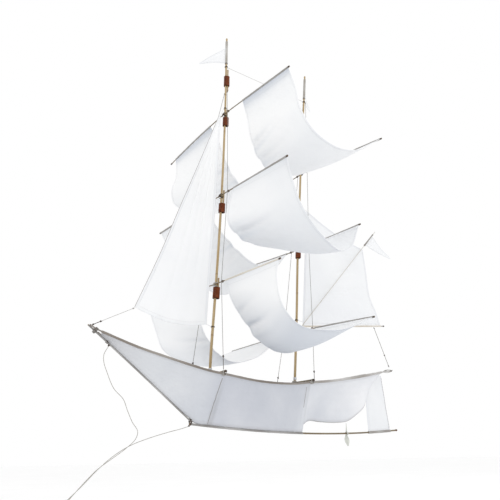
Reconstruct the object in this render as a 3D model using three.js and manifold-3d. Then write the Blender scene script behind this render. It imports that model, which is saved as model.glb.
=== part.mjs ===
// Sailing-ship kite: bamboo spars, fabric hull and sails, leather locking sleeves, cord rigging.
// Millimetres. +X aft, -Y port, +Z up. The origin is on the keel rod, where a hand holds the kite.
import * as THREE from 'three';
import { mergeVertices } from 'three/addons/utils/BufferGeometryUtils.js';
import Module from 'manifold-3d';

const wasm = await Module();
wasm.setup();

// ---- driving dimensions ----
const KEEL_R = 1.7;
const KEEL_X = [-236, 352];
const KEEL_MID = 60;
const KEEL_RISE = 11;
const KEEL_HALF = 290;
const STEM_R = 1.2;
const GUNWALE_R = 1.2;
const SPAR_R = 1.7;
const FORE_SPAR_HALF = 52;
const AFT_SPAR_HALF = 57;
const SPAR_Z = 97.2;
const MAST_FOOT_R = 2.7;
const MAST_HEAD_R = 2.15;
const YARD_R = 1.1;
const BOOM_R = 1.15;
const SPRIT_R = 1.0;
const YARD_STEP = 4.1;
const HEM_IN = 1.6;
const HEM_OUT = 2.15;
const GUNWALE_HEM_IN = 1.75;
const GUNWALE_HEM_OUT = 2.25;
const CLOTH = 0.7;
const CORD_R = 0.4;
const BRIDLE_R = 0.5;
const GAP = 0.35;
const LASH_GAP = 0.6;
const PEG_R = 1.6;
const SLEEVE_WALL = 2.2;
// Side of the mast on which the locking pegs lie, as an angle from +X about +Z.
const FORE_PEG_SIDE = -Math.PI * 0.222;
const AFT_PEG_SIDE = -Math.PI / 2;

// Centre lines of the curved spars, X and Z.
const FORE_MAST = [[-194.5, 10.6], [-193, 105], [-180, 271], [-166, 467], [-156, 672], [-152.1, 812], [-150, 889]];
const AFT_MAST = [[13, 2.4], [25, 112], [38, 232], [52, 383], [70, 538], [82, 640], [106.9, 833], [116, 912]];
// Sheer line: X, half beam, Z.
const SHEER = [[-432, 2.8, 157.6], [-420, 4.5, 151.2], [-399, 12, 142.4], [-358, 23, 127.6], [-315, 32, 116], [-230, 44, 97.5],
  [-194, 48, 93], [-116, 53, 85.5], [-36, 54.5, 86.5], [12, 53, 92.6], [76, 50, 100], [197, 38, 120],
  [299, 21, 140], [362, 1.9, 151]];

// Stations along the gunwales.
const STATIONS = [-432, -420, -408, -390, -362, -325, -280, -240, -198, -150, -100, -45, 12.4,
  60, 110, 160, 205, 250, 288, 325, 362];

const v3 = (x, y, z) => new THREE.Vector3(x, y, z);
const group = new THREE.Group();
group.name = 'ship_kite';

function add(name, geometry, color, roughness = 0.8) {
  const material = new THREE.MeshStandardMaterial({ color, roughness, metalness: 0 });
  const mesh = new THREE.Mesh(geometry, material);
  mesh.name = name;
  group.add(mesh);
  return mesh;
}

// ---- solid helpers ----
function clean(geometry) {
  const g = geometry.clone();
  g.deleteAttribute('normal');
  g.deleteAttribute('uv');
  return mergeVertices(g, 1e-4);
}

function toSolid(geometry) {
  const g = clean(geometry);
  return new wasm.Manifold(new wasm.Mesh({
    numProp: 3,
    vertProperties: new Float32Array(g.attributes.position.array),
    triVerts: new Uint32Array(g.index.array),
  }));
}

function fromSolid(solid) {
  const m = solid.getMesh();
  const g = new THREE.BufferGeometry();
  g.setAttribute('position', new THREE.BufferAttribute(new Float32Array(m.vertProperties), 3));
  g.setIndex(new THREE.BufferAttribute(new Uint32Array(m.triVerts), 1));
  g.computeVertexNormals();
  return g;
}

function union(list) {
  let out = toSolid(list[0]);
  for (const g of list.slice(1)) {
    out = out.add(toSolid(g));
  }
  return fromSolid(out);
}

function ring(r, sides) {
  const pts = [];
  for (let i = 0; i < sides; i += 1) {
    const a = (i / sides) * Math.PI * 2;
    pts.push(new THREE.Vector2(Math.cos(a) * r, Math.sin(a) * r));
  }
  return pts;
}

function smooth(points) {
  return new THREE.CatmullRomCurve3(points, false, 'centripetal');
}

// A course of straight runs, with one ring of a swept section at each point.
class Course extends THREE.Curve {
  constructor(points) {
    super();
    this.points = points;
  }

  getPoint(t) {
    const last = this.points.length - 1;
    const k = Math.min(last - 1, Math.floor(t * last));
    return this.points[k].clone().lerp(this.points[k + 1], t * last - k);
  }

  getPointAt(u) {
    return this.getPoint(u);
  }

  getTangentAt(u) {
    return this.getTangent(u);
  }
}

// Round rod, or a hollow tube when inner is given, along the points.
function tube(points, r, { inner = 0, sides = 8, steps = 0 } = {}) {
  const shape = new THREE.Shape(ring(r, sides));
  if (inner > 0) {
    shape.holes.push(new THREE.Path(ring(inner, sides).reverse()));
  }
  const run = steps > 0 ? smooth(points).getSpacedPoints(steps) : points;
  return new THREE.ExtrudeGeometry(shape, {
    steps: run.length - 1,
    extrudePath: new Course(run),
    bevelEnabled: false,
  });
}

// Tapered round mast with a pointed foot.
function taper(points, r0, r1, sides, steps) {
  const curve = smooth(points);
  const frames = curve.computeFrenetFrames(steps, false);
  const length = curve.getLength();
  const pos = [];
  const idx = [];
  const stations = [0, 6 / length];
  for (let j = 1; j <= steps; j += 1) {
    stations.push(j / steps);
  }
  stations.forEach((f, j) => {
    const c = curve.getPointAt(f);
    const r = j === 0 ? 0.25 : r0 + (r1 - r0) * f;
    const k = Math.max(0, j - 1);
    for (let i = 0; i < sides; i += 1) {
      const a = (i / sides) * Math.PI * 2;
      const p = c.clone();
      p.addScaledVector(frames.normals[k], Math.cos(a) * r);
      p.addScaledVector(frames.binormals[k], Math.sin(a) * r);
      pos.push(p.x, p.y, p.z);
    }
  });
  for (let j = 0; j <= steps; j += 1) {
    for (let i = 0; i < sides; i += 1) {
      const a = j * sides + i;
      const b = j * sides + ((i + 1) % sides);
      idx.push(a, b, b + sides);
      idx.push(a, b + sides, a + sides);
    }
  }
  const top = (steps + 1) * sides;
  for (let i = 1; i < sides - 1; i += 1) {
    idx.push(0, i + 1, i);
    idx.push(top, top + i, top + i + 1);
  }
  const g = new THREE.BufferGeometry();
  g.setAttribute('position', new THREE.Float32BufferAttribute(pos, 3));
  g.setIndex(idx);
  return g;
}

// Thin closed sheet around the middle surface P(u, v).
function sheet(P, nu, nv, t = CLOTH) {
  const pos = [];
  const idx = [];
  const e = 1e-3;
  const normal = (u, v) => {
    const du = P(Math.min(1, u + e), v).sub(P(Math.max(0, u - e), v));
    const dv = P(u, Math.min(1, v + e)).sub(P(u, Math.max(0, v - e)));
    return du.cross(dv).normalize();
  };
  for (const side of [1, -1]) {
    for (let j = 0; j <= nv; j += 1) {
      for (let i = 0; i <= nu; i += 1) {
        const p = P(i / nu, j / nv).addScaledVector(normal(i / nu, j / nv), (side * t) / 2);
        pos.push(p.x, p.y, p.z);
      }
    }
  }
  const n = (nu + 1) * (nv + 1);
  const at = (i, j) => j * (nu + 1) + i;
  for (let j = 0; j < nv; j += 1) {
    for (let i = 0; i < nu; i += 1) {
      const [a, b, c, d] = [at(i, j), at(i + 1, j), at(i + 1, j + 1), at(i, j + 1)];
      idx.push(a, b, c, a, c, d);
      idx.push(a + n, c + n, b + n, a + n, d + n, c + n);
    }
  }
  const rim = [];
  for (let i = 0; i < nu; i += 1) {
    rim.push(at(i, 0));
  }
  for (let j = 0; j < nv; j += 1) {
    rim.push(at(nu, j));
  }
  for (let i = nu; i > 0; i -= 1) {
    rim.push(at(i, nv));
  }
  for (let j = nv; j > 0; j -= 1) {
    rim.push(at(0, j));
  }
  for (let k = 0; k < rim.length; k += 1) {
    const a = rim[k];
    const b = rim[(k + 1) % rim.length];
    idx.push(a, a + n, b + n, a, b + n, b);
  }
  const g = new THREE.BufferGeometry();
  g.setAttribute('position', new THREE.Float32BufferAttribute(pos, 3));
  g.setIndex(idx);
  return g;
}

// Round loop of cord, squashed to half widths a and b, in the plane of the axes ea and eb.
function loop(centre, ea, eb, a, b, r, segs = 10, wide = 1) {
  const g = new THREE.TorusGeometry(1, r, 4, segs);
  const p = g.attributes.position;
  const n = ea.clone().cross(eb);
  for (let i = 0; i < p.count; i += 1) {
    const [x, y, z] = [p.getX(i), p.getY(i), p.getZ(i)];
    const h = Math.hypot(x, y);
    const w = h - 1;
    const [cx, cy] = [x / h, y / h];
    const q = centre.clone().addScaledVector(ea, cx * (a + w)).addScaledVector(eb, cy * (b + w));
    q.addScaledVector(n, z * wide);
    p.setXYZ(i, q.x, q.y, q.z);
  }
  return g;
}

// Crossed lashing around rod A at point c and rod B at distance d along n.
// It stands clear of rod A; bite sinks it into rod B, where it is tied off.
function lashing(c, n, da, db, ra, rb, d, bite, r = 0.5) {
  const near = -ra - LASH_GAP - r;
  const far = d + rb + r - bite;
  const centre = c.clone().addScaledVector(n, (near + far) / 2);
  const wide = Math.max(ra, rb) * 1.7 + LASH_GAP + r;
  const parts = [];
  for (const s of [1, -1]) {
    const diag = da.clone().addScaledVector(db, s).normalize();
    parts.push(loop(centre, n, diag, (far - near) / 2, wide, r, 8));
  }
  return union(parts);
}

// ---- curves of the frame ----
const keelZ = (x) => KEEL_RISE * (((x - KEEL_MID) / KEEL_HALF) ** 2 - (KEEL_MID / KEEL_HALF) ** 2);
const keelPoint = (x) => v3(x, 0, keelZ(x));
const mastCurve = (pts) => smooth(pts.map(([x, z]) => v3(x, 0, z)));
const foreCurve = mastCurve(FORE_MAST);
const aftCurve = mastCurve(AFT_MAST);

function onMast(curve, z) {
  let [lo, hi] = [0, 1];
  for (let i = 0; i < 40; i += 1) {
    const mid = (lo + hi) / 2;
    if (curve.getPointAt(mid).z < z) {
      lo = mid;
    } else {
      hi = mid;
    }
  }
  return { p: curve.getPointAt(lo), t: curve.getTangentAt(lo), r: MAST_FOOT_R + (MAST_HEAD_R - MAST_FOOT_R) * lo };
}

const sheerCurve = smooth(SHEER.map(([x, y, z]) => v3(x, y, z)));
function onSheer(x) {
  let [lo, hi] = [0, 1];
  for (let i = 0; i < 40; i += 1) {
    const mid = (lo + hi) / 2;
    if (sheerCurve.getPointAt(mid).x < x) {
      lo = mid;
    } else {
      hi = mid;
    }
  }
  const p = sheerCurve.getPointAt(lo);
  return p;
}
const sheerPts = STATIONS.map(onSheer);
function sheer(x, side) {
  let k = 0;
  while (k < STATIONS.length - 2 && sheerPts[k + 1].x < x) {
    k += 1;
  }
  const [a, b] = [sheerPts[k], sheerPts[k + 1]];
  const p = a.clone().lerp(b, (x - a.x) / (b.x - a.x));
  return v3(p.x, p.y * side, p.z);
}
// The gunwale's run of points from x0 to x1.
function gunwaleRun(side, x0, x1) {
  const inner = sheerPts.filter((p) => p.x > x0 + 1 && p.x < x1 - 1).map((p) => v3(p.x, p.y * side, p.z));
  return [sheer(x0, side), ...inner, sheer(x1, side)];
}

// ---- hull frame ----
const BAMBOO = 0xc3aa7d;
const HEM = 0xd9d8d6;
const WHITE = 0xf2f3f5;
const LEATHER = 0x6e3419;
const DARK = 0x50463f;
const CORD = 0xd8d2c4;

const keelPts = [];
for (let i = 0; i <= 14; i += 1) {
  keelPts.push(keelPoint(KEEL_X[0] + ((KEEL_X[1] - KEEL_X[0]) * i) / 14));
}
add('keel_rod', tube(keelPts, KEEL_R, { sides: 8 }), BAMBOO);

const stemFoot = v3(-232, 0, 14.5);
const bowTip = v3(-434, 0, 157.5);
const stemPts = [stemFoot, v3(-304, 0, 66.2), v3(-350, 0, 99), v3(-396, 0, 131), bowTip];
add('stem_rod', tube(stemPts, STEM_R, { steps: 6 }), BAMBOO);

for (const [name, side] of [['gunwale_port', -1], ['gunwale_starboard', 1]]) {
  add(name, tube(gunwaleRun(side, -431.8, 361.8), GUNWALE_R, { sides: 6 }), HEM);
}

// Each deck spar carries its bound ends and the cord lashings tied on it.
const SPARS = [
  { name: 'fore_deck_spar', x: -198, half: FORE_SPAR_HALF, mast: foreCurve },
  { name: 'aft_deck_spar', x: 18.5, half: AFT_SPAR_HALF, mast: aftCurve },
];
for (const { name, x, half, mast } of SPARS) {
  const parts = [tube([v3(x, -half, SPAR_Z), v3(x, half, SPAR_Z)], SPAR_R, { sides: 8 })];
  for (const side of [-1, 1]) {
    parts.push(tube([v3(x, side * (half - 0.4), SPAR_Z), v3(x, side * (half + 2.2), SPAR_Z)], 2.2, { sides: 8 }));
    const g = sheer(x, side);
    parts.push(lashing(g, v3(0, 0, 1), v3(1, 0, 0), v3(0, 1, 0), GUNWALE_HEM_OUT, SPAR_R, SPAR_Z - g.z, 0.9));
  }
  const m = onMast(mast, SPAR_Z);
  const dx = x - m.p.x;
  const n = v3(Math.sign(dx), 0, 0);
  parts.push(lashing(m.p, n, v3(0, 1, 0), v3(0, 0, 1), m.r, SPAR_R, Math.abs(dx), 0.9));
  add(name, union(parts), HEM);
}

// Lashings at the bow, the forefoot and the stern: side by side turns of cord.
add('bow_lashing', loop(v3(-421, 0, 150.4), v3(0, 1, 0), v3(0.58, 0, 0.81), 7.4, 6.4, 0.6, 16, 3.5), CORD);
add('forefoot_lashing', loop(v3(-234.4, 0, 14.2), v3(0, 1, 0), v3(0, 0, 1), 3.2, 6.3, 0.6, 14, 3), CORD);
const sternAt = sheer(345, 1);
add('stern_lashing', loop(v3(345, 0, sternAt.z), v3(0, 1, 0), v3(0, 0, 1), sternAt.y + 3.6, 3.2, 0.6, 16, 3.5), CORD);

// ---- masts ----
add('fore_mast', taper(FORE_MAST.map(([x, z]) => v3(x, 0, z)), MAST_FOOT_R, MAST_HEAD_R, 8, 18), BAMBOO);
add('aft_mast', taper(AFT_MAST.map(([x, z]) => v3(x, 0, z)), MAST_FOOT_R, MAST_HEAD_R, 8, 18), BAMBOO);

// ---- yards: port tip, starboard tip (X, Y, Z) and the height where each crosses its mast ----
const YARDS = {
  fore_yard_upper: { curve: foreCurve, aft: -1, z: 672, port: [-162, -212, 668], star: [-161, 212, 640] },
  fore_yard_middle: { curve: foreCurve, aft: -1, z: 467, port: [-186, -219, 456], star: [-180, 219, 452] },
  fore_yard_lower: { curve: foreCurve, aft: -1, z: 271, port: [-184, -188, 271], star: [-208, 206, 277] },
  aft_yard_upper: { curve: aftCurve, aft: 1, z: 604, port: [85, -236, 590], star: [83, 230, 588] },
  aft_yard_middle: { curve: aftCurve, aft: 1, z: 400, port: [59, -178, 403], star: [66, 178, 412] },
  aft_yard_lower: { curve: aftCurve, aft: 1, z: 207, port: [34, -208, 197], star: [26, 209, 195] },
};
for (const [name, y] of Object.entries(YARDS)) {
  const m = onMast(y.curve, y.z);
  y.mid = v3(m.p.x + y.aft * YARD_STEP, 0, y.z);
  y.mast = m;
  y.at = (yy) => {
    const tip = yy < 0 ? y.port : y.star;
    const f = Math.min(1, Math.abs(yy / tip[1]));
    const bend = f * (0.6 + 0.4 * f);
    return v3(y.mid.x + (tip[0] - y.mid.x) * bend, yy, y.mid.z + (tip[2] - y.mid.z) * bend);
  };
  const pts = [];
  for (let i = 0; i <= 10; i += 1) {
    pts.push(y.at(y.port[1] + ((y.star[1] - y.port[1]) * i) / 10));
  }
  add(name, tube(pts, YARD_R, { sides: 6 }), BAMBOO);
  const d = Math.abs(y.mid.x - m.p.x);
  y.lash = lashing(m.p, v3(y.aft, 0, 0), v3(0, 1, 0), v3(0, 0, 1), m.r, YARD_R, d, -LASH_GAP);
}

// ---- locking pegs and leather sleeves ----
const PEG_GAP = 0.45;
const pegSide = (curve) => (curve === foreCurve ? FORE_PEG_SIDE : AFT_PEG_SIDE);
function pegAt(curve, z0, z1) {
  const lo = onMast(curve, z0);
  const hi = onMast(curve, z1);
  const side = v3(Math.cos(pegSide(curve)), Math.sin(pegSide(curve)), 0);
  const off = (m) => m.p.clone().addScaledVector(side, m.r + PEG_R + PEG_GAP);
  return tube([off(lo), off(hi)], PEG_R, { sides: 8 });
}
function sleeveAt(curve, z0, z1) {
  const lo = onMast(curve, z0);
  const hi = onMast(curve, z1);
  const mid = onMast(curve, (z0 + z1) / 2);
  const yc = -(mid.r + PEG_R + PEG_GAP);
  const outline = (pad, n) => {
    const pts = [];
    const R = mid.r + pad;
    const r = PEG_R + pad;
    const open = Math.asin((R - r) / -yc);
    for (let i = 0; i <= n; i += 1) {
      const a = -open + (i / n) * (Math.PI + 2 * open);
      pts.push(new THREE.Vector2(Math.cos(a) * R, Math.sin(a) * R));
    }
    for (let i = 0; i <= n / 2; i += 1) {
      const a = Math.PI + open + (i / (n / 2)) * (Math.PI - 2 * open);
      pts.push(new THREE.Vector2(Math.cos(a) * r, Math.sin(a) * r + yc));
    }
    return pts;
  };
  const shape = new THREE.Shape(outline(GAP + SLEEVE_WALL, 8));
  shape.holes.push(new THREE.Path(outline(GAP, 8).reverse()));
  const len = lo.p.distanceTo(hi.p);
  const g = new THREE.ExtrudeGeometry(shape, { depth: len, bevelEnabled: false });
  const up = hi.p.clone().sub(lo.p).normalize();
  const ex = v3(up.z, 0, -up.x);
  const ey = v3(0, 1, 0);
  g.rotateZ(pegSide(curve) + Math.PI / 2);
  g.applyMatrix4(new THREE.Matrix4().makeBasis(ex, ey, up).setPosition(lo.p));
  return g;
}
add('topmast_peg', pegAt(foreCurve, 738, 797), BAMBOO);
add('fore_sleeve_top', sleeveAt(foreCurve, 751, 778), LEATHER, 0.7);
add('fore_sleeve_upper', sleeveAt(foreCurve, 643, 665), LEATHER, 0.7);
add('fore_sleeve_middle', sleeveAt(foreCurve, 429, 450), LEATHER, 0.7);
add('fore_sleeve_lower', sleeveAt(foreCurve, 243, 266), LEATHER, 0.7);
add('aft_sleeve_middle', sleeveAt(aftCurve, 377, 395), LEATHER, 0.7);
// A yard's lashing also binds its locking peg, where it has one.
const LOCKS = {
  fore_yard_upper: [650, 686],
  fore_yard_middle: [436, 481],
  fore_yard_lower: [250, 285],
  aft_yard_middle: [383, 414],
};
for (const [name, y] of Object.entries(YARDS)) {
  const span = LOCKS[name];
  const parts = span ? [y.lash, pegAt(y.curve, ...span)] : [y.lash];
  add(`${name}_lashing`, union(parts), span ? BAMBOO : CORD);
}

// ---- cloth stretched from a fore yard down and aft to the matching aft yard ----
// A profile is the fall of an edge as (X, Z), from the fore yard to the aft yard. foreY and aftY
// are how far out from the mast the cloth's two edges sit on its yards.
const SAILS = {
  upper: {
    fore: 'fore_yard_upper', aft: 'aft_yard_upper',
    port: {
      foreY: [67, 208], aftY: [44, 232],
      inner: [[-146, 635], [-133, 588], [-106, 552], [-56, 535], [18, 560]],
      outer: [[-148, 628], [-142, 580], [-113, 539], [-57, 521], [10, 538]],
    },
    starboard: {
      foreY: [50, 190], aftY: [44, 228],
      inner: [[-134, 634], [-119, 597], [-88, 554], [-40, 537], [20, 555]],
      outer: [[-156, 600], [-164, 560], [-152, 535], [-105, 527], [-37, 545]],
    },
  },
  middle: {
    fore: 'fore_yard_middle', aft: 'aft_yard_middle',
    port: {
      foreY: [48, 215], aftY: [42, 174],
      inner: [[-186, 420], [-186, 385], [-150, 362], [-65, 362], [14, 379]],
      outer: [[-167, 425], [-140, 382], [-90, 343], [-30, 322], [20, 343]],
    },
    starboard: {
      foreY: [48, 215], aftY: [42, 174],
      inner: [[-156, 436], [-127, 407], [-86, 380], [-40, 358], [14, 357]],
      outer: [[-167, 422], [-140, 380], [-90, 342], [-30, 321], [20, 343]],
    },
  },
  lower: {
    fore: 'fore_yard_lower', aft: 'aft_yard_lower',
    port: {
      foreY: [35, 184], aftY: [54, 204],
      inner: [[-172, 234], [-144, 196], [-102, 159], [-47, 145], [1, 163]],
      outer: [[-193, 236], [-186, 188], [-150, 158], [-80, 158], [-15, 175]],
    },
    starboard: {
      foreY: [40, 203], aftY: [54, 205],
      inner: [[-189, 232], [-180, 196], [-151, 160], [-104, 138], [-35, 152]],
      outer: [[-205, 254], [-190, 215], [-170, 178], [-120, 157], [-45, 166]],
    },
  },
};
for (const [level, s] of Object.entries(SAILS)) {
  for (const [sideName, side] of [['port', -1], ['starboard', 1]]) {
    const foreYard = YARDS[s.fore];
    const aftYard = YARDS[s.aft];
    const { foreY, aftY, inner, outer } = s[sideName];
    const edge = (prof, k) => {
      const yf = side * foreY[k];
      const ya = side * aftY[k];
      const f = foreYard.at(yf);
      const a = aftYard.at(ya);
      const n = prof.length;
      const mids = prof.map(([x, z], i) => v3(x, yf + ((ya - yf) * (i + 1)) / (n + 1), z));
      const startDir = mids[0].clone().sub(f).normalize();
      const endDir = mids[n - 1].clone().sub(a).normalize();
      const hem = (HEM_IN + HEM_OUT) / 2;
      return smooth([
        f.clone().addScaledVector(startDir, hem),
        ...mids,
        a.clone().addScaledVector(endDir, hem),
      ]);
    };
    const [e0, e1] = [edge(inner, 0), edge(outer, 1)];
    const P = (u, v) => {
      const a = e0.getPointAt(v);
      const b = e1.getPointAt(v);
      const sag = 10 * Math.sin(Math.PI * u) * Math.sin(Math.PI * v);
      return a.lerp(b, side < 0 ? u : 1 - u).add(v3(0, 0, -sag));
    };
    const hemOn = (yard, ys) => {
      const pts = [];
      for (let i = 0; i <= 3; i += 1) {
        pts.push(yard.at(side * (ys[0] + ((ys[1] - ys[0]) * i) / 3)));
      }
      return tube(pts, HEM_OUT, { inner: HEM_IN, sides: 6 });
    };
    const cloth = sheet(P, 4, 8);
    const body = union([cloth, hemOn(foreYard, foreY), hemOn(aftYard, aftY)]);
    add(`sail_${level}_${sideName}`, body, WHITE);
  }
}

// ---- hull cloth ----
const LOWER_MAIN = [[-403, 139.4], [-352, 103.4], [-290, 59.6], [-243, 27], [-229, 20.5], [-219, 12.2],
  [-196, 10.7], [-100, 5.5], [-20, 3], [37, 2.2]];
const LOWER_AFT = [[37.8, 15], [56, 24], [94, 23], [142, 23], [178, 27], [208, 40], [240, 60], [251, 80], [262, 104]];
function hullPanel(side, topX, lower, split, nu, slitX, apart) {
  const low = smooth(lower.map(([x, z]) => v3(x, side * apart, z)));
  const P = (u, v) => {
    const [s0, s1] = split;
    const f = u < s0 ? (u / s0) * s1 : s1 + ((u - s0) / (1 - s0)) * (1 - s1);
    const b = low.getPointAt(f);
    const t = sheer(topX[0] + (topX[1] - topX[0]) * u, side);
    const dir = b.clone().sub(t).normalize();
    t.addScaledVector(dir, (GUNWALE_HEM_IN + GUNWALE_HEM_OUT) / 2);
    return b.lerp(t, v);
  };
  const flip = (u, v) => (side < 0 ? P(u, v) : P(1 - u, v));
  const hem = tube(gunwaleRun(side, ...topX), GUNWALE_HEM_OUT, { inner: GUNWALE_HEM_IN, sides: 6 });
  const cloth = union([sheet(flip, nu, 1), hem]);
  if (slitX === undefined) {
    return cloth;
  }
  // A slit under the hem lets the deck spar's lashing through.
  const g = sheer(slitX, side);
  const slit = new THREE.BoxGeometry(12, 9, 3.6);
  slit.translate(g.x, g.y - side * 1.5, g.z - 3.5);
  return fromSolid(toSolid(cloth).subtract(toSolid(slit)));
}
for (const [sideName, side] of [['port', -1], ['starboard', 1]]) {
  add(`hull_main_${sideName}`, hullPanel(side, [-406, 12.1], LOWER_MAIN, [0.5, 0.52], 12, -198, 0.75), WHITE);
  add(`hull_aft_${sideName}`, hullPanel(side, [12.7, 288], LOWER_AFT, [0.5, 0.5], 9, 18.5, 1.2), WHITE);
}

// ---- stern fin ----
const FIN = { top: [[308, 134], [316, 135.5]], foot: [[250, 8.2], [329, 12.8]] };
const finP = (u, v) => {
  const x0 = FIN.foot[0][0] + (FIN.top[0][0] - FIN.foot[0][0]) * v ** 6;
  const x1 = FIN.foot[1][0] + (FIN.top[1][0] - FIN.foot[1][0]) * v;
  const x = x0 + (x1 - x0) * u;
  const base = keelZ(x) + KEEL_R + 1.1;
  const z = base + (135 - base) * v;
  return v3(x, 0, z);
};
const finHem = [];
for (let i = 0; i <= 4; i += 1) {
  finHem.push(keelPoint(250 + 20 * i));
}
const finSheet = sheet(finP, 4, 8);
add('stern_fin', union([finSheet, tube(finHem, KEEL_R + 1.5, { inner: KEEL_R + 0.6, sides: 8 })]), WHITE);
const capEnd = keelPoint(352);
const capDir = keelPoint(352).sub(keelPoint(346)).normalize();
const capPts = [capEnd.clone().addScaledVector(capDir, GAP), capEnd.clone().addScaledVector(capDir, 4.2)];
add('keel_end_cap', tube(capPts, 2.2, { sides: 12 }), DARK);

// ---- jib ----
const jibP = (u, v) => {
  const luff = smooth([v3(-353, 0, 199), v3(-308, 0, 306), v3(-268, 0, 412), v3(-215, 0, 550), v3(-172.5, 0, 664)]);
  const leech = smooth([v3(-202, 0, 189.5), v3(-195, 0, 290), v3(-184, 0, 420), v3(-177.5, 0, 530), v3(-168.5, 0, 668)]);
  const a = luff.getPointAt(v);
  const b = leech.getPointAt(v);
  const p = a.lerp(b, u);
  p.z -= 12 * Math.sin(Math.PI * u) * (1 - v) ** 4;
  p.y = 7 * Math.sin(Math.PI * u) * Math.sin(Math.PI * Math.min(1, v * 1.1)) ** 2;
  return p;
};
// The head and the clew are tied to the mast with a sewn-on cord and a loop.
const headMast = onMast(foreCurve, 690);
const clewMast = onMast(foreCurve, 187);
const round = (m, r) => loop(m.p, v3(1, 0, 0), v3(0, 1, 0), m.r + GAP + r, m.r + GAP + r, r);
add('jib', union([
  sheet(jibP, 5, 9),
  tube([v3(-170.5, 0, 662), v3(headMast.p.x - 3.2, 0, 690)], CORD_R, { sides: 6 }),
  round(headMast, 0.6),
  tube([v3(-204, 0, 190.5), v3(clewMast.p.x - 3.4, 0, 187)], CORD_R, { sides: 6 }),
  round(clewMast, 0.6),
]), WHITE);
const tackFoot = v3(-427, 0, 158.4);
add('jib_tack_line', tube([v3(-354, 0, 197.5), tackFoot], CORD_R, { sides: 6 }), CORD);

// ---- spanker with its sprit, boom and sheet ----
const boomAt = (x) => v3(x, 0, 219.5 + ((x - 47) * 41) / 300);
const boomFore = boomAt(42);
const boomEnd = boomAt(349);
add('boom', tube([boomFore, boomEnd], BOOM_R, { sides: 8 }), BAMBOO);
const spankerP = (u, v) => {
  const foot = boomAt(56 + 280 * u);
  foot.z += (HEM_IN + HEM_OUT) / 2;
  const leech = smooth([boomAt(336), v3(323, 0, 292), v3(304, 0, 330), v3(299, 0, 400), v3(294, 0, 455)]);
  const luff = new THREE.LineCurve3(boomAt(56), v3(90, 0, 508));
  const a = luff.getPointAt(v);
  const b = leech.getPointAt(v);
  const p = a.lerp(b, u);
  p.z += (foot.z - boomAt(56 + 280 * u).z) * (1 - v) - 9 * Math.sin(Math.PI * u) * v ** 3;
  p.y = 6 * Math.sin(Math.PI * u) * Math.sin(Math.PI * v);
  return p;
};
const boomHem = tube([boomAt(56), boomAt(336)], HEM_OUT, { inner: HEM_IN + 0.05, sides: 8 });
const spankerParts = [sheet(spankerP, 5, 7), boomHem];
for (const [z, x, zz] of [[512, 92, 506], [232, 57.5, 231]]) {
  const m = onMast(aftCurve, z);
  spankerParts.push(tube([v3(m.p.x + m.r + 0.6, 0, z), v3(x, 0, zz)], CORD_R, { sides: 6 }));
  spankerParts.push(round(m, 0.6));
}
add('spanker', union(spankerParts), WHITE);
const spritFoot = v3(42.5, -4.6, 213.6);
const spritTip = v3(349, -4.6, 517.4);
const spritDir = spritTip.clone().sub(spritFoot).normalize();
add('sprit', tube([spritFoot, spritTip], SPRIT_R, { sides: 8 }), BAMBOO);
const sheetTop = boomAt(308).add(v3(0, 0, -HEM_OUT - GAP - CORD_R));
const sheetKnot = new THREE.IcosahedronGeometry(1.5, 0);
sheetKnot.scale(0.8, 0.8, 1.4);
sheetKnot.translate(338, 0, 187.8);
add('spanker_sheet', union([tube([sheetTop, v3(353, 0, 158.5)], CORD_R, { sides: 6 }), sheetKnot]), CORD);

// ---- standing rigging ----
// A shroud runs down from the mast head past each yard, with a knot ring round the yard.
function shroud(side, top, yardNames, ys, foot) {
  const pts = [top];
  const rings = [];
  yardNames.forEach((n, i) => {
    const yard = YARDS[n];
    const c = yard.at(side * ys[i]);
    const off = yard.aft > 0 ? 2.4 : -2.4;
    pts.push(v3(c.x + off, c.y, c.z));
    rings.push(loop(c, v3(1, 0, 0), v3(0, 0, 1), YARD_R + GAP + 0.85, YARD_R + GAP + 0.85, 0.75, 8));
  });
  pts.push(foot);
  const knotAt = pts[pts.length - 2].clone().lerp(foot, 0.86);
  const knot = new THREE.IcosahedronGeometry(1.6, 0);
  knot.scale(0.8, 0.8, 1.3);
  knot.translate(knotAt.x, knotAt.y, knotAt.z);
  return union([tube(pts, CORD_R, { sides: 6 }), ...rings, knot]);
}
const foreYards = ['fore_yard_upper', 'fore_yard_middle', 'fore_yard_lower'];
const aftYards = ['aft_yard_upper', 'aft_yard_middle', 'aft_yard_lower'];
for (const [sideName, side] of [['port', -1], ['starboard', 1]]) {
  const foreTop = onMast(foreCurve, 734).p.add(v3(0.5, side * 5, 0));
  const foreFoot = v3(-200.6, side * 50, SPAR_Z + 2.9);
  add(`fore_shroud_${sideName}`, shroud(side, foreTop, foreYards, [17, 30, 26], foreFoot), CORD);
  const aftTop = onMast(aftCurve, 822).p.add(v3(1.5, side * 4.6, 0));
  const aftFoot = v3(24.4, side * 54.5, SPAR_Z + 2.9);
  add(`aft_shroud_${sideName}`, shroud(side, aftTop, aftYards, [16, 28, 43], aftFoot), CORD);
}
const stayFore = onMast(foreCurve, 806);
const stayAft = onMast(aftCurve, 826);
add('topmast_stay', union([
  tube([stayFore.p.clone().add(v3(3.1, 0, 0)), stayAft.p.clone().add(v3(-3.1, 0, 0))], CORD_R, { sides: 6 }),
  loop(stayFore.p, v3(1, 0, 0), v3(0, 1, 0), stayFore.r + GAP + 0.7, stayFore.r + GAP + 0.7, 0.7),
  loop(stayAft.p, v3(1, 0, 0), v3(0, 1, 0), stayAft.r + GAP + 0.7, stayAft.r + GAP + 0.7, 0.7),
]), CORD);

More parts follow.
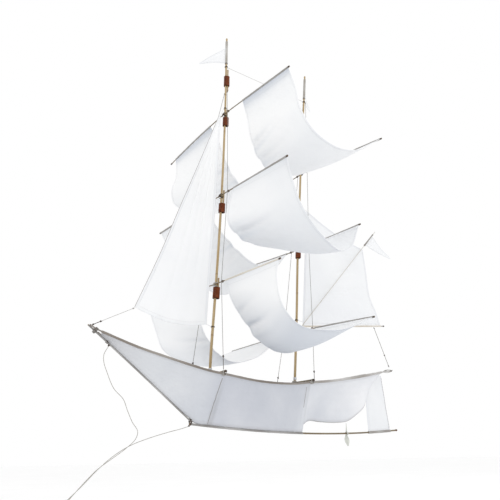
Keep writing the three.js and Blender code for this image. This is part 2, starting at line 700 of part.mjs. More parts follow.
// ---- pennants: a hem tube round the pole and a pointed flag ----
function pennant(base, dir, hemLen, hoist, r, out, droop, width) {
  const top = base.clone().addScaledVector(dir, hemLen);
  const hem = tube([base, top], r + GAP + 0.75, { inner: r + GAP, sides: 10 });
  const h0 = base.clone().addScaledVector(dir, hoist[0]);
  const h1 = base.clone().addScaledVector(dir, hoist[1]);
  const P = (u, v) => {
    const start = h0.clone().lerp(h1, v);
    const tip = h0.clone().lerp(h1, 0.5).addScaledVector(out, width).add(droop);
    tip.addScaledVector(dir, (v - 0.5) * 3);
    const s = start.clone().addScaledVector(out, r + GAP + 0.4);
    const p = s.lerp(tip, u);
    const side = dir.clone().cross(out).normalize();
    return p.addScaledVector(side, 4 * Math.sin(Math.PI * 1.5 * u) * u);
  };
  return union([hem, sheet(P, 5, 2, 0.6)]);
}
const foreHead = onMast(foreCurve, 814);
const foreTop = onMast(foreCurve, 884);
const foreDir = foreTop.p.clone().sub(foreHead.p).normalize();
add('fore_pennant', pennant(
  foreHead.p, foreDir, 66, [2, 46], foreHead.r, v3(-1, 0.1, 0).normalize(), v3(0, 0, -50), 70,
), WHITE);
const aftHead = onMast(aftCurve, 836);
const aftTop = onMast(aftCurve, 908);
const aftDir = aftTop.p.clone().sub(aftHead.p).normalize();
add('aft_pennant', pennant(
  aftHead.p, aftDir, 66, [2, 46], aftHead.r, v3(0.82, 0.57, 0).normalize(), v3(0, 0, -22), 62,
), WHITE);
const spritBase = spritFoot.clone().addScaledVector(spritDir, 358);
add('sprit_pennant', pennant(
  spritBase, spritDir, 58, [4, 52], SPRIT_R, v3(0.687, 0, -0.726), v3(26, 0, 25), 83,
), WHITE);

// ---- ribbon tag tied round the keel rod ----
const tagX = 174;
const tagC = keelPoint(tagX);
const tagDown = (u, v) => {
  const w = 7.5 * (1 - 0.75 * Math.max(0, v - 0.6) / 0.4) * (0.35 + 0.65 * Math.min(1, v * 3));
  return v3(tagX - 1 + (u - 0.5) * 2 * w + 3 * v, 0.5 * Math.sin(3 * v), tagC.z - KEEL_R - 1.2 - 23 * v);
};
const tagUp = (u, v) => {
  const w = 2.2 * (1 - 0.85 * v);
  return v3(tagX + (u - 0.5) * 2 * w + 1.5 * v, 0, tagC.z + KEEL_R + 1.2 + 18 * v);
};
add('ribbon_tag', union([
  tube([keelPoint(tagX - 1.8), keelPoint(tagX + 1.8)], KEEL_R + 1.7, { inner: KEEL_R + 0.55, sides: 10 }),
  sheet(tagDown, 2, 6, 0.6),
  sheet(tagUp, 1, 3, 0.6),
]), 0xb0b2ac);

// ---- bridle: two slack legs from the stem and the forefoot to the tow knot ----
const bowLeg = [
  [-397, -2.6, 127.5], [-405, -4, 112], [-404.5, -5, 100], [-398, -5, 85], [-384, -4, 61], [-366, -4, 45],
  [-358, -4, 29], [-348, -4, 11], [-337.5, -4, -3], [-341, -4, -15], [-356, -4, -28], [-379, -4, -43],
  [-402, -4, -58], [-424, -3, -79], [-441, -2, -97],
];
const keelLeg = [
  [-236, 3.6, 7], [-250, 4, 3], [-278, 4, -3.5], [-313, 4, -13], [-345, 4, -24], [-371, 4, -38],
  [-396, 4, -57], [-422, 3, -81], [-441, 2, -97],
];
const toPts = (list) => list.map(([x, y, z]) => v3(x, y, z));
add('bridle_bow_leg', tube(toPts(bowLeg), BRIDLE_R, { sides: 8, steps: 40 }), CORD);
add('bridle_keel_leg', tube(toPts(keelLeg), BRIDLE_R, { sides: 8, steps: 34 }), CORD);
const knot = new THREE.IcosahedronGeometry(3.2, 1);
knot.scale(1.15, 1, 0.9);
knot.translate(-444.6, 0, -100.6);
const towLoop = loop(v3(-452, 0, -108), v3(-0.707, 0, -0.707), v3(0, 1, 0), 9, 4.5, 0.5, 16);
add('tow_knot', union([knot, towLoop]), CORD);

export default group;
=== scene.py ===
import math

import bpy
import numpy as np
from mathutils import Matrix, Vector


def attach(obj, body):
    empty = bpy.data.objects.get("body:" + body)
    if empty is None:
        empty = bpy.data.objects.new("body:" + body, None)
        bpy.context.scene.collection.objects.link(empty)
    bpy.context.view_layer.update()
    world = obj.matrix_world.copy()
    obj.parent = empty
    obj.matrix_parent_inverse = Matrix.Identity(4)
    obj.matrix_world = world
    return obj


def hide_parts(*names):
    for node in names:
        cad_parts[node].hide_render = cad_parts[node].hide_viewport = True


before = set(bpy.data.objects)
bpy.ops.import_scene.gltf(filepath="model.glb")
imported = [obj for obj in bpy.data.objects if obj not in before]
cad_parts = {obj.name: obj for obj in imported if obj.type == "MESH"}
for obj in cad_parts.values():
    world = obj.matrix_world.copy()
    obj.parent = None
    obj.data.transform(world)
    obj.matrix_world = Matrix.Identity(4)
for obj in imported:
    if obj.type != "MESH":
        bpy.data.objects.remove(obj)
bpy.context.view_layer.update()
ROOT = "kite"


# ---------------------------------------------------------------- camera
def make_camera():
    data = bpy.data.cameras.new("camera")
    data.sensor_width = 36
    data.lens = 39.6
    cam = bpy.data.objects.new("camera", data)
    bpy.context.scene.collection.objects.link(cam)
    right = Vector((0.76299, -0.64613, -0.01916))
    up = Vector((-0.21726, -0.28425, 0.93381))
    back = right.cross(up)
    cam.matrix_world = Matrix.Translation((-0.7964, -0.8210, -0.0494)) @ Matrix(
        (right, up, back)
    ).transposed().to_4x4()
    bpy.context.scene.camera = cam


make_camera()


# ---------------------------------------------------------------- materials
def linear(r, g, b):
    return tuple(((x / 255 + 0.055) / 1.055) ** 2.4 for x in (r, g, b)) + (1.0,)


class Finish:
    """A Principled material with small helpers for its node tree."""

    def __init__(self, name, roughness=0.7, sheen=0.0, specular=0.5):
        self.mat = bpy.data.materials.new(name)
        self.mat.use_nodes = True
        self.tree = self.mat.node_tree
        self.shader = self.tree.nodes["Principled BSDF"]
        self.shader.inputs["Roughness"].default_value = roughness
        self.shader.inputs["Sheen Weight"].default_value = sheen
        self.shader.inputs["Specular IOR Level"].default_value = specular

    def node(self, kind, **settings):
        n = self.tree.nodes.new(kind)
        for key, value in settings.items():
            setattr(n, key, value)
        return n

    def link(self, a, b):
        self.tree.links.new(a, b)

    def uv(self, scale):
        """UV coordinates, 1 unit per 10 mm, scaled by scale."""
        coord = self.node("ShaderNodeUVMap", uv_map="UVMap")
        mapping = self.node("ShaderNodeMapping")
        mapping.inputs["Scale"].default_value = scale
        self.link(coord.outputs["UV"], mapping.inputs["Vector"])
        return mapping.outputs["Vector"]

    def place(self, scale):
        coord = self.node("ShaderNodeTexCoord")
        mapping = self.node("ShaderNodeMapping")
        mapping.inputs["Scale"].default_value = scale
        self.link(coord.outputs["Object"], mapping.inputs["Vector"])
        return mapping.outputs["Vector"]

    def noise(self, vector, scale=1.0, detail=3.0, distortion=0.0):
        n = self.node("ShaderNodeTexNoise")
        n.inputs["Scale"].default_value = scale
        n.inputs["Detail"].default_value = detail
        n.inputs["Distortion"].default_value = distortion
        self.link(vector, n.inputs["Vector"])
        return n.outputs["Fac"]

    def ramp(self, value, stops):
        n = self.node("ShaderNodeValToRGB")
        while len(n.color_ramp.elements) < len(stops):
            n.color_ramp.elements.new(0.5)
        for element, (at, colour) in zip(n.color_ramp.elements, stops):
            element.position = at
            element.color = colour
        self.link(value, n.inputs["Fac"])
        return n.outputs["Color"]

    def mix(self, share, a, b, kind="MIX"):
        n = self.node("ShaderNodeMix", data_type="RGBA", blend_type=kind)
        for value, key in ((share, 0), (a, 6), (b, 7)):
            if isinstance(value, bpy.types.NodeSocket):
                self.link(value, n.inputs[key])
            else:
                n.inputs[key].default_value = value
        return n.outputs[2]

    def maths(self, kind, a, b=0.0, c=0.0):
        n = self.node("ShaderNodeMath", operation=kind)
        for i, value in enumerate((a, b, c)):
            if isinstance(value, bpy.types.NodeSocket):
                self.link(value, n.inputs[i])
            else:
                n.inputs[i].default_value = value
        return n.outputs[0]

    def tone(self, name="tone"):
        return self.node("ShaderNodeAttribute", attribute_name=name).outputs["Fac"]

    def colour(self, socket):
        self.link(socket, self.shader.inputs["Base Color"])

    def rough(self, value, low, high):
        n = self.node("ShaderNodeMapRange")
        n.inputs["To Min"].default_value = low
        n.inputs["To Max"].default_value = high
        self.link(value, n.inputs["Value"])
        self.link(n.outputs["Result"], self.shader.inputs["Roughness"])

    def bump(self, *layers):
        """Each layer is (height, strength, distance in metres)."""
        before = None
        for height, strength, distance in layers:
            n = self.node("ShaderNodeBump")
            n.inputs["Strength"].default_value = strength
            n.inputs["Distance"].default_value = distance
            self.link(height, n.inputs["Height"])
            if before is not None:
                self.link(before, n.inputs["Normal"])
            before = n.outputs["Normal"]
        self.link(before, self.shader.inputs["Normal"])

    def weave(self, per_unit):
        """Over-and-under of warp and weft, as a height."""
        sides = []
        for axis in ("X", "Y"):
            wave = self.node("ShaderNodeTexWave", wave_type="BANDS", bands_direction=axis)
            wave.inputs["Scale"].default_value = per_unit
            wave.inputs["Distortion"].default_value = 0.6
            wave.inputs["Detail"].default_value = 1.0
            self.link(self.uv((1, 1, 1)), wave.inputs["Vector"])
            sides.append(wave.outputs["Fac"])
        return self.maths("MULTIPLY", *sides)


def cloth_finish(name, light, dark, hem, sheen=0.15):
    """Thin woven kite cloth. tone is 1 where it is doubled or something shows through, and it also carries painted
    shade.
    """
    f = Finish(name, 0.75, sheen, 0.25)
    weave = f.weave(4.6)
    clouds = f.noise(f.place((1, 1, 1)), 7.0, 4.0, 0.6)
    slubs = f.noise(f.uv((0.35, 7, 1)), 1.0, 2.0)
    base = f.ramp(clouds, [(0.3, dark), (0.7, light)])
    base = f.mix(f.maths("MULTIPLY", slubs, 0.12), base, dark)
    base = f.mix(f.maths("MULTIPLY", weave, 0.06), base, light)
    base = f.mix(f.tone(), base, hem)
    f.colour(base)
    f.rough(slubs, 0.62, 0.85)
    crease = f.noise(f.place((1, 1, 1)), 26.0, 3.0, 1.2)
    f.bump((crease, 0.35, 0.003), (slubs, 0.12, 0.0004), (weave, 0.25, 0.00015))
    return f.mat


def hull_finish():
    """The hull's cloth: its own pale bluish colour, with painted shade making it cooler and darker towards the bow."""
    f = Finish("hullcloth", 0.75, 0.15, 0.25)
    weave = f.weave(4.6)
    spot = f.place((1, 1, 1))
    clouds = f.noise(spot, 7.0, 4.0, 0.6)
    slubs = f.noise(f.uv((0.35, 7, 1)), 1.0, 2.0)
    split = f.node("ShaderNodeSeparateXYZ")
    f.link(spot, split.inputs["Vector"])
    along = f.node("ShaderNodeMapRange", clamp=True)
    along.inputs["From Min"].default_value = -0.43
    along.inputs["From Max"].default_value = 0.30
    f.link(split.outputs["X"], along.inputs["Value"])
    # Painted shade along the hull: the ramp runs from dark at the bow to light aft.
    base = f.ramp(along.outputs["Result"], [
        (0.0, linear(207, 207, 210)), (0.14, linear(222, 224, 227)), (0.28, linear(220, 222, 226)),
        (0.33, linear(213, 215, 221)), (0.60, linear(214, 216, 221)), (0.62, linear(224, 226, 230)),
        (0.82, linear(233, 234, 237)), (1.0, linear(245, 245, 247))])
    cloudy = f.ramp(clouds, [(0.3, linear(232, 234, 238)), (0.7, (1, 1, 1, 1))])
    base = f.mix(1.0, base, cloudy, "MULTIPLY")
    base = f.mix(f.maths("MULTIPLY", slubs, 0.10), base, linear(196, 200, 208))
    base = f.mix(f.tone(), base, linear(150, 149, 150))
    f.colour(base)
    f.rough(slubs, 0.62, 0.85)
    crease = f.noise(f.place((1, 1, 1)), 26.0, 3.0, 1.2)
    f.bump((crease, 0.35, 0.003), (slubs, 0.12, 0.0004), (weave, 0.25, 0.00015))
    return f.mat


def bamboo_finish(name="bamboo", k=1.0):
    f = Finish(name, 0.45, 0.0, 0.45)
    grain = f.noise(f.uv((5.5, 0.16, 1)), 1.0, 5.0, 0.3)
    patch = f.noise(f.uv((0.5, 0.12, 1)), 1.0, 2.0)
    fleck = f.noise(f.uv((9, 1.1, 1)), 1.0, 2.0)
    base = f.ramp(grain, [(0.28, linear(142 * k, 118 * k, 80 * k)), (0.5, linear(178 * k, 156 * k, 116 * k)),
                           (0.72, linear(200 * k, 182 * k, 146 * k))])
    base = f.mix(f.maths("MULTIPLY", patch, 0.35), base, linear(166 * k, 134 * k, 84 * k))
    dots = f.maths("GREATER_THAN", fleck, 0.68)
    base = f.mix(f.maths("MULTIPLY", dots, 0.35), base, linear(120, 84, 46))
    base = f.mix(f.tone(), base, linear(112, 78, 42))
    f.colour(base)
    f.rough(patch, 0.34, 0.6)
    f.bump((grain, 0.3, 0.0003))
    return f.mat


def thread_finish(name, light, dark, roughness=0.8):
    f = Finish(name, roughness, 0.2, 0.3)
    twist = f.noise(f.uv((6, 3, 1)), 1.0, 3.0)
    wear = f.noise(f.uv((0.4, 0.2, 1)), 1.0, 2.0)
    base = f.ramp(twist, [(0.3, dark), (0.7, light)])
    base = f.mix(f.maths("MULTIPLY", wear, 0.3), base, dark)
    f.colour(base)
    f.rough(wear, roughness - 0.12, roughness + 0.1)
    f.bump((twist, 0.4, 0.0002))
    return f.mat


def leather_finish():
    f = Finish("leather", 0.5, 0.0, 0.18)
    cells = f.node("ShaderNodeTexVoronoi", feature="DISTANCE_TO_EDGE")
    cells.inputs["Scale"].default_value = 7.0
    f.link(f.uv((1, 1, 1)), cells.inputs["Vector"])
    pores = f.noise(f.uv((12, 12, 1)), 1.0, 3.0)
    patch = f.noise(f.uv((0.8, 0.8, 1)), 1.0, 3.0, 0.5)
    base = f.ramp(patch, [(0.3, linear(94, 42, 14)), (0.7, linear(124, 60, 24))])
    base = f.mix(f.maths("MULTIPLY", pores, 0.2), base, linear(64, 27, 9))
    base = f.mix(f.tone(), base, linear(58, 26, 13))
    f.colour(base)
    f.rough(patch, 0.38, 0.6)
    f.bump((cells.outputs["Distance"], 0.35, 0.0003), (pores, 0.2, 0.0002))
    return f.mat


def ribbon_finish():
    f = Finish("ribbon", 0.5, 0.3, 0.4)
    ribs = f.node("ShaderNodeTexWave", wave_type="BANDS", bands_direction="Y")
    ribs.inputs["Scale"].default_value = 4.0
    ribs.inputs["Distortion"].default_value = 0.4
    f.link(f.uv((1, 1, 1)), ribs.inputs["Vector"])
    patch = f.noise(f.uv((0.8, 0.5, 1)), 1.0, 3.0)
    base = f.ramp(patch, [(0.3, linear(196, 199, 192)), (0.7, linear(220, 222, 214))])
    base = f.mix(f.tone(), base, linear(150, 152, 144))
    f.colour(base)
    f.rough(patch, 0.4, 0.62)
    f.bump((ribs.outputs["Fac"], 0.3, 0.0002))
    return f.mat


SAIL = cloth_finish("sailcloth", linear(252, 252, 252), linear(247, 248, 249), linear(190, 197, 208))
SHADED = cloth_finish("shaded_sailcloth", linear(241, 242, 243), linear(237, 238, 240), linear(190, 197, 208))
HULL_HEM = cloth_finish("hull_hem", linear(164, 158, 152), linear(142, 135, 128), linear(112, 101, 91))
HULL = hull_finish()
SLEEVED = cloth_finish("hemmed_rod", linear(178, 176, 173), linear(154, 151, 147), linear(112, 102, 92))
ROD_CLOTH = cloth_finish("rod_cloth", linear(180, 178, 177), linear(158, 156, 154), linear(120, 116, 112))
AFT_HEM = cloth_finish("aft_hem", linear(198, 196, 194), linear(172, 169, 166), linear(132, 123, 113))
PALE_HEM = cloth_finish("pale_hem", linear(238, 235, 228), linear(216, 209, 198), linear(182, 166, 144))
BAMBOO = bamboo_finish()
AGED_BAMBOO = bamboo_finish("aged_bamboo", 0.66)
PALE_ROD = thread_finish("pale_rod", linear(216, 212, 205), linear(188, 183, 174), 0.55)
GREY_ROD = thread_finish("grey_rod", linear(152, 147, 138), linear(120, 114, 105), 0.55)
CORD = thread_finish("cord", linear(184, 181, 175), linear(158, 154, 147))
THREAD = thread_finish("thread", linear(232, 232, 233), linear(208, 208, 211))
LIGHT_LINE = thread_finish("light_line", linear(190, 188, 185), linear(168, 165, 160))
FINE = thread_finish("fine_line", linear(138, 134, 129), linear(114, 110, 104))
DARK = thread_finish("dark_binding", linear(92, 76, 64), linear(56, 45, 37))
REDDISH = thread_finish("red_brown_binding", linear(132, 84, 66), linear(84, 50, 40))
LEATHER = leather_finish()
RIBBON = ribbon_finish()


# ---------------------------------------------------------------- curves
def arr(*xyz):
    return np.array(xyz, float)


def unit(v):
    v = np.asarray(v, float)
    return v / np.linalg.norm(v, axis=-1, keepdims=True)


def catmull(points, per=40):
    """Centripetal Catmull-Rom run through the points."""
    p = np.array(points, float)
    q = np.vstack([2 * p[0] - p[1], p, 2 * p[-1] - p[-2]])
    out = []
    t = np.linspace(0, 1, per, endpoint=False)[:, None]
    for i in range(1, len(q) - 2):
        a, b, c, d = q[i - 1 : i + 3]
        d0, d1, d2 = (max(np.linalg.norm(y - x) ** 0.5, 1e-6) for x, y in ((a, b), (b, c), (c, d)))
        m0 = ((b - a) / d0 - (c - a) / (d0 + d1) + (c - b) / d1) * d1
        m1 = ((c - b) / d1 - (d - b) / (d1 + d2) + (d - c) / d2) * d1
        out.append(b + m0 * t + (3 * (c - b) - 2 * m0 - m1) * t**2 + (2 * (b - c) + m0 + m1) * t**3)
    out.append(p[-1:])
    return np.vstack(out)


def run_length(path):
    return np.r_[0, np.cumsum(np.linalg.norm(np.diff(path, axis=0), axis=1))]


class Curve:
    """A curve by its share of length, 0 to 1."""

    def __init__(self, points, straight=False):
        self.p = np.array(points, float) if straight else catmull(points)
        self.s = run_length(self.p)
        self.length = self.s[-1]

    def at(self, f):
        f = np.asarray(f, float) * self.length
        return np.stack([np.interp(f, self.s, self.p[:, k]) for k in range(3)], -1)

    def where(self, axis, value):
        """The share of length where a rising coordinate reaches value."""
        return np.interp(value, self.p[:, axis], self.s) / self.length

    def run(self, step, f0=0.0, f1=1.0):
        n = max(2, int(round(self.length * abs(f1 - f0) / step)) + 1)
        return self.at(np.linspace(f0, f1, n))


# ---------------------------------------------------------------- meshes
def frames(path, start=None):
    """Tangents and two steady cross directions along a path."""
    t = unit(np.gradient(path, axis=0))
    if start is None:
        start = arr(0, 0, 1) if abs(t[0][2]) < 0.8 else arr(0, 1, 0)
    n = np.zeros_like(path)
    now = np.asarray(start, float)
    for i, d in enumerate(t):
        now = now - d * (now @ d)
        now = now / np.linalg.norm(now)
        n[i] = now
    return t, n, np.cross(t, n)


class Piece:
    """Geometry gathered in millimetres, with UVs, a tone for each point and material numbers."""

    def __init__(self):
        self.v, self.uv, self.tone, self.faces, self.slots, self.count = [], [], [], [], [], 0

    def add(self, v, faces, uv=None, tone=0.0, slot=0):
        v = np.asarray(v, float).reshape(-1, 3)
        self.v.append(v)
        self.uv.append(np.zeros((len(v), 2)) if uv is None else np.asarray(uv, float).reshape(-1, 2))
        self.tone.append(np.broadcast_to(np.asarray(tone, float).ravel(), (len(v),)))
        self.faces += [tuple(int(i) + self.count for i in f) for f in faces]
        self.slots += [slot] * len(faces)
        self.count += len(v)
        return self

    def tube(self, path, r, sides=12, slot=0, tone=0.0, lobes=0, depth=0.0, pitch=3.0, start=None, end=0.5):
        """A round bar or a laid cord along path. r and tone may vary along it."""
        path = np.asarray(path, float)
        s = run_length(path)
        r = np.broadcast_to(np.asarray(r, float), (len(path),))
        tone = np.broadcast_to(np.asarray(tone, float), (len(path),))
        t, n, b = frames(path, start)
        at = np.r_[0, 0, np.arange(len(path)), len(path) - 1, len(path) - 1]
        push = np.r_[-end, -end * 0.7, np.zeros(len(path)), end * 0.7, end] * r[at]
        scale = np.r_[0.45, 0.82, np.ones(len(path)), 0.82, 0.45]
        centre = path[at] + t[at] * push[:, None]
        angle = np.linspace(0, 2 * math.pi, sides, endpoint=False)
        along = s[at]
        radius = np.repeat((r[at] * scale)[:, None], sides, 1)
        if lobes:
            turn = angle[None] - 2 * math.pi * along[:, None] / pitch
            radius = radius * (1 - depth * (1 - np.abs(np.cos(lobes / 2 * turn))))
        ring = centre[:, None] + radius[..., None] * (
            np.cos(angle)[None, :, None] * n[at][:, None] + np.sin(angle)[None, :, None] * b[at][:, None]
        )
        m = len(at)
        faces = []
        for j in range(m - 1):
            for i in range(sides):
                k = (i + 1) % sides
                faces.append((j * sides + i, j * sides + k, (j + 1) * sides + k, (j + 1) * sides + i))
        faces.append(tuple(range(sides))[::-1])
        faces.append(tuple((m - 1) * sides + i for i in range(sides)))
        around = np.abs(angle - math.pi)[None] * np.maximum(r[at], 0.4)[:, None] / 10
        uv = np.stack([around, np.repeat((along / 10)[:, None], sides, 1)], -1)
        return self.add(ring, faces, uv, np.repeat(tone[at][:, None], sides, 1), slot)

    def sheet(self, P, nu, nv, thick, tone=None, hems=(), hem=6.0, slot=0, under=0.0, seam=0.13):
        """A closed thin sheet on P(u, v). hems names the edges that are folded over: u0, u1, v0, v1."""
        u, v = np.meshgrid(grid(nu, "u0" in hems, "u1" in hems), grid(nv, "v0" in hems, "v1" in hems))
        nu, nv = u.shape[1] - 1, u.shape[0] - 1
        p = P(u, v)
        e = 2e-3
        du = P(np.minimum(u + e, 1), v) - P(np.maximum(u - e, 0), v)
        dv = P(u, np.minimum(v + e, 1)) - P(u, np.maximum(v - e, 0))
        normal = unit(np.cross(du, dv) + 1e-9)
        across = np.concatenate([np.zeros((nv + 1, 1)), np.cumsum(np.linalg.norm(np.diff(p, axis=1), axis=2), 1)], 1)
        down = np.concatenate([np.zeros((1, nu + 1)), np.cumsum(np.linalg.norm(np.diff(p, axis=0), axis=2), 0)], 0)
        near = np.full(u.shape, 1e9)
        for name in hems:
            gap = {"u0": across, "u1": across[:, -1:] - across, "v0": down, "v1": down[-1:] - down}[name]
            near = np.minimum(near, gap)
        folded = np.clip((hem - near) / 0.8 + 0.5, 0, 1)
        half = (thick * (1 + 0.9 * folded) / 2)[..., None]
        shade = seam * folded + (0 if tone is None else tone(u, v))
        uv = np.stack([across, down], -1) / 10
        n = (nu + 1) * (nv + 1)
        at = np.arange(n).reshape(nv + 1, nu + 1)
        a, b, c, d = (x.ravel() for x in (at[:-1, :-1], at[:-1, 1:], at[1:, 1:], at[1:, :-1]))
        faces = list(zip(a, b, c, d)) + list(zip(a + n, d + n, c + n, b + n))
        rim = np.concatenate([at[0, :-1], at[:-1, -1], at[-1, :0:-1], at[:0:-1, 0]])
        nxt = np.roll(rim, -1)
        faces += list(zip(rim, rim + n, nxt + n, nxt))
        both = np.concatenate([(p + normal * half).reshape(-1, 3), (p - normal * half).reshape(-1, 3)])
        # Painted shade: each face is made darker where it turns down, scaled by under, as if lit from above.
        painted_underside_shade = [under * np.clip(-s * normal[..., 2] - 0.12, 0, 1) ** 1.2 for s in (1, -1)]
        tones = np.concatenate([np.clip(shade + d, 0, 1).ravel() for d in painted_underside_shade])
        self.add(both, faces, np.tile(uv.reshape(-1, 2), (2, 1)), tones, slot)
        return self

    def stitches(self, P, line, lift, slot=1, every=3.4, long=2.3, r=0.17):
        """Running stitches on both faces of P along a line of (u, v) shares."""
        uv = np.array(line, float)
        fine = np.stack([np.interp(np.linspace(0, 1, 200), np.linspace(0, 1, len(uv)), uv[:, k]) for k in (0, 1)], 1)
        p = P(fine[:, 0], fine[:, 1])
        s = run_length(p)
        e = 2e-3
        count = max(2, int(s[-1] / every))
        for side in (1, -1):
            for k in range(count):
                ends = (k + np.array([0.15, 0.15 + long / every])) / count * s[-1]
                uu, vv = (np.interp(ends, s, fine[:, i]) for i in (0, 1))
                q = P(uu, vv)
                n = unit(np.cross(P(np.minimum(uu + e, 1), vv) - P(np.maximum(uu - e, 0), vv),
                                  P(uu, np.minimum(vv + e, 1)) - P(uu, np.maximum(vv - e, 0))) + 1e-9)
                self.tube(q + side * lift * n, r, 4, slot, end=0.6)
        return self

    def make(self, name, finishes, body=ROOT, replaces=(), slot=None, flat=False):
        v = np.vstack(self.v) * 0.001
        mesh = bpy.data.meshes.new(name)
        mesh.from_pydata(v.tolist(), [], self.faces)
        for f in finishes:
            mesh.materials.append(f)
        mesh.polygons.foreach_set("material_index", np.array(self.slots, np.int32))
        mesh.polygons.foreach_set("use_smooth", np.full(len(self.faces), not flat))
        layer = mesh.uv_layers.new(name="UVMap")
        loops = np.zeros(len(mesh.loops), np.int32)
        mesh.loops.foreach_get("vertex_index", loops)
        layer.data.foreach_set("uv", np.vstack(self.uv)[loops].astype(np.float32).ravel())
        tone = mesh.attributes.new("tone", "FLOAT", "POINT")
        tone.data.foreach_set("value", np.concatenate(self.tone).astype(np.float32))
        mesh.validate()
        mesh.update()
        o = bpy.data.objects.new(name, mesh)
        bpy.context.scene.collection.objects.link(o)
        if not flat:
            mesh.set_sharp_from_angle(angle=math.radians(50))
        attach(o, body)
        if replaces:
            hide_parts(*([replaces] if isinstance(replaces, str) else replaces))
        return o


def grid(n, low, high):
    """Even shares from 0 to 1, with extra lines near an edge that is folded over."""
    g = np.linspace(0, 1, n + 1)
    extra = []
    if low:
        extra += [0.012, 0.024, 0.036]
    if high:
        extra += [0.964, 0.976, 0.988]
    return np.unique(np.round(np.r_[g, extra], 5))


def winding(c, n, w, a, b, turns, pitch, start=0.0, per=18, wobble=0.0):
    """Points of cord wound turns times on an oval with half widths a along n and b along w."""
    n, w = unit(n), unit(w)
    k = np.cross(n, w)
    f = np.linspace(0, turns, int(turns * per) + 1)
    t = 2 * math.pi * f + start
    drift = (f - turns / 2) * pitch + wobble * np.sin(3.1 * t)
    return c + np.outer(a * np.cos(t), n) + np.outer(b * np.sin(t), w) + np.outer(drift, k)


def knot_path(c, axis, size, length, per=42):
    """A pulled-up overhand knot: a trefoil stretched along axis."""
    axis = unit(axis)
    side = unit(np.cross(axis, arr(0.3, 1, 0.2)))
    other = np.cross(axis, side)
    t = np.linspace(0, 2 * math.pi, per)
    x = np.sin(t) + 2 * np.sin(2 * t)
    y = np.cos(t) - 2 * np.cos(2 * t)
    z = -np.sin(3 * t)
    return c + np.outer(x * length / 3, axis) + np.outer(y * size / 3, side) + np.outer(z * size * 0.45, other)


# ---------------------------------------------------------------- frame curves, as in the CAD
KEEL_R = 1.7
HEM_OUT = 1.85
GUNWALE_HEM = 2.2
SPAR_Z = 97.2
LASH_GAP = 0.6


def keel_z(x):
    return 11 * (((x - 60) / 290) ** 2 - (60 / 290) ** 2)


def keel_at(x):
    x = np.asarray(x, float)
    return np.stack([x, 0 * x, keel_z(x)], -1)


def xz(points, y=0.0):
    return [(x, y, z) for x, z in points]


FORE = Curve(xz([(-194.5, 10.6), (-193, 105), (-180, 271), (-166, 467), (-156, 672), (-152.1, 812), (-150, 889)]))
AFT = Curve(xz([(13, 2.4), (25, 112), (38, 232), (52, 383), (70, 538), (82, 640), (106.9, 833), (116, 912)]))
SHEER = Curve([(-432, 2.8, 157.6), (-420, 4.5, 151.2), (-399, 12, 142.4), (-358, 23, 127.6), (-315, 32, 116), (-230, 44, 97.5),
               (-194, 48, 93), (-116, 53, 85.5), (-36, 54.5, 86.5), (12, 53, 92.6), (76, 50, 100),
               (197, 38, 120), (299, 21, 140), (362, 1.9, 151)])


def on_mast(mast, z):
    f = float(mast.where(2, z))
    p = mast.at(f)
    return p, unit(mast.at(min(1, f + 0.01)) - mast.at(f - 0.01)), 2.7 + (2.15 - 2.7) * f


def sheer(x, side):
    p = SHEER.at(SHEER.where(0, x))
    return p * arr(1, side, 1)


def lashing(piece, c, n, da, db, ra, rb, d, bite, r=0.42, turns=3, slot=0):
    """Turns of cord crossed round bar A at c and bar B at distance d along n."""
    n, da, db = unit(n), unit(da), unit(db)
    near = -ra - LASH_GAP - r
    far = d + rb + r - bite
    centre = np.asarray(c, float) + n * (near + far) / 2
    wide = max(ra, rb) * 1.7 + LASH_GAP + r
    for k, s in enumerate((1, -1)):
        grow = 1 + 0.1 * k
        path = winding(centre, n, unit(da + s * db), (far - near) / 2 * grow, wide * grow, turns, 2 * r, 0.4 + k)
        piece.tube(path, r, 7, slot, lobes=3, depth=0.25, pitch=2.4)


SIDES = (("port", -1), ("starboard", 1))


# ---------------------------------------------------------------- bridle: the free cords
BOW_LEG = [(-397, -2.6, 127.5), (-405, -4, 112), (-404.5, -5, 100), (-398, -5, 85), (-384, -4, 61), (-366, -4, 45),
           (-358, -4, 29), (-348, -4, 11), (-337.5, -4, -3), (-341, -4, -15), (-356, -4, -28), (-379, -4, -43),
           (-402, -4, -58), (-424, -3, -79), (-441, -2, -97)]
KEEL_LEG = [(-236, 3.6, 7), (-250, 4, 3), (-278, 4, -3.5), (-313, 4, -13), (-345, 4, -24), (-371, 4, -38),
            (-396, 4, -57), (-422, 3, -81), (-441, 2, -97)]


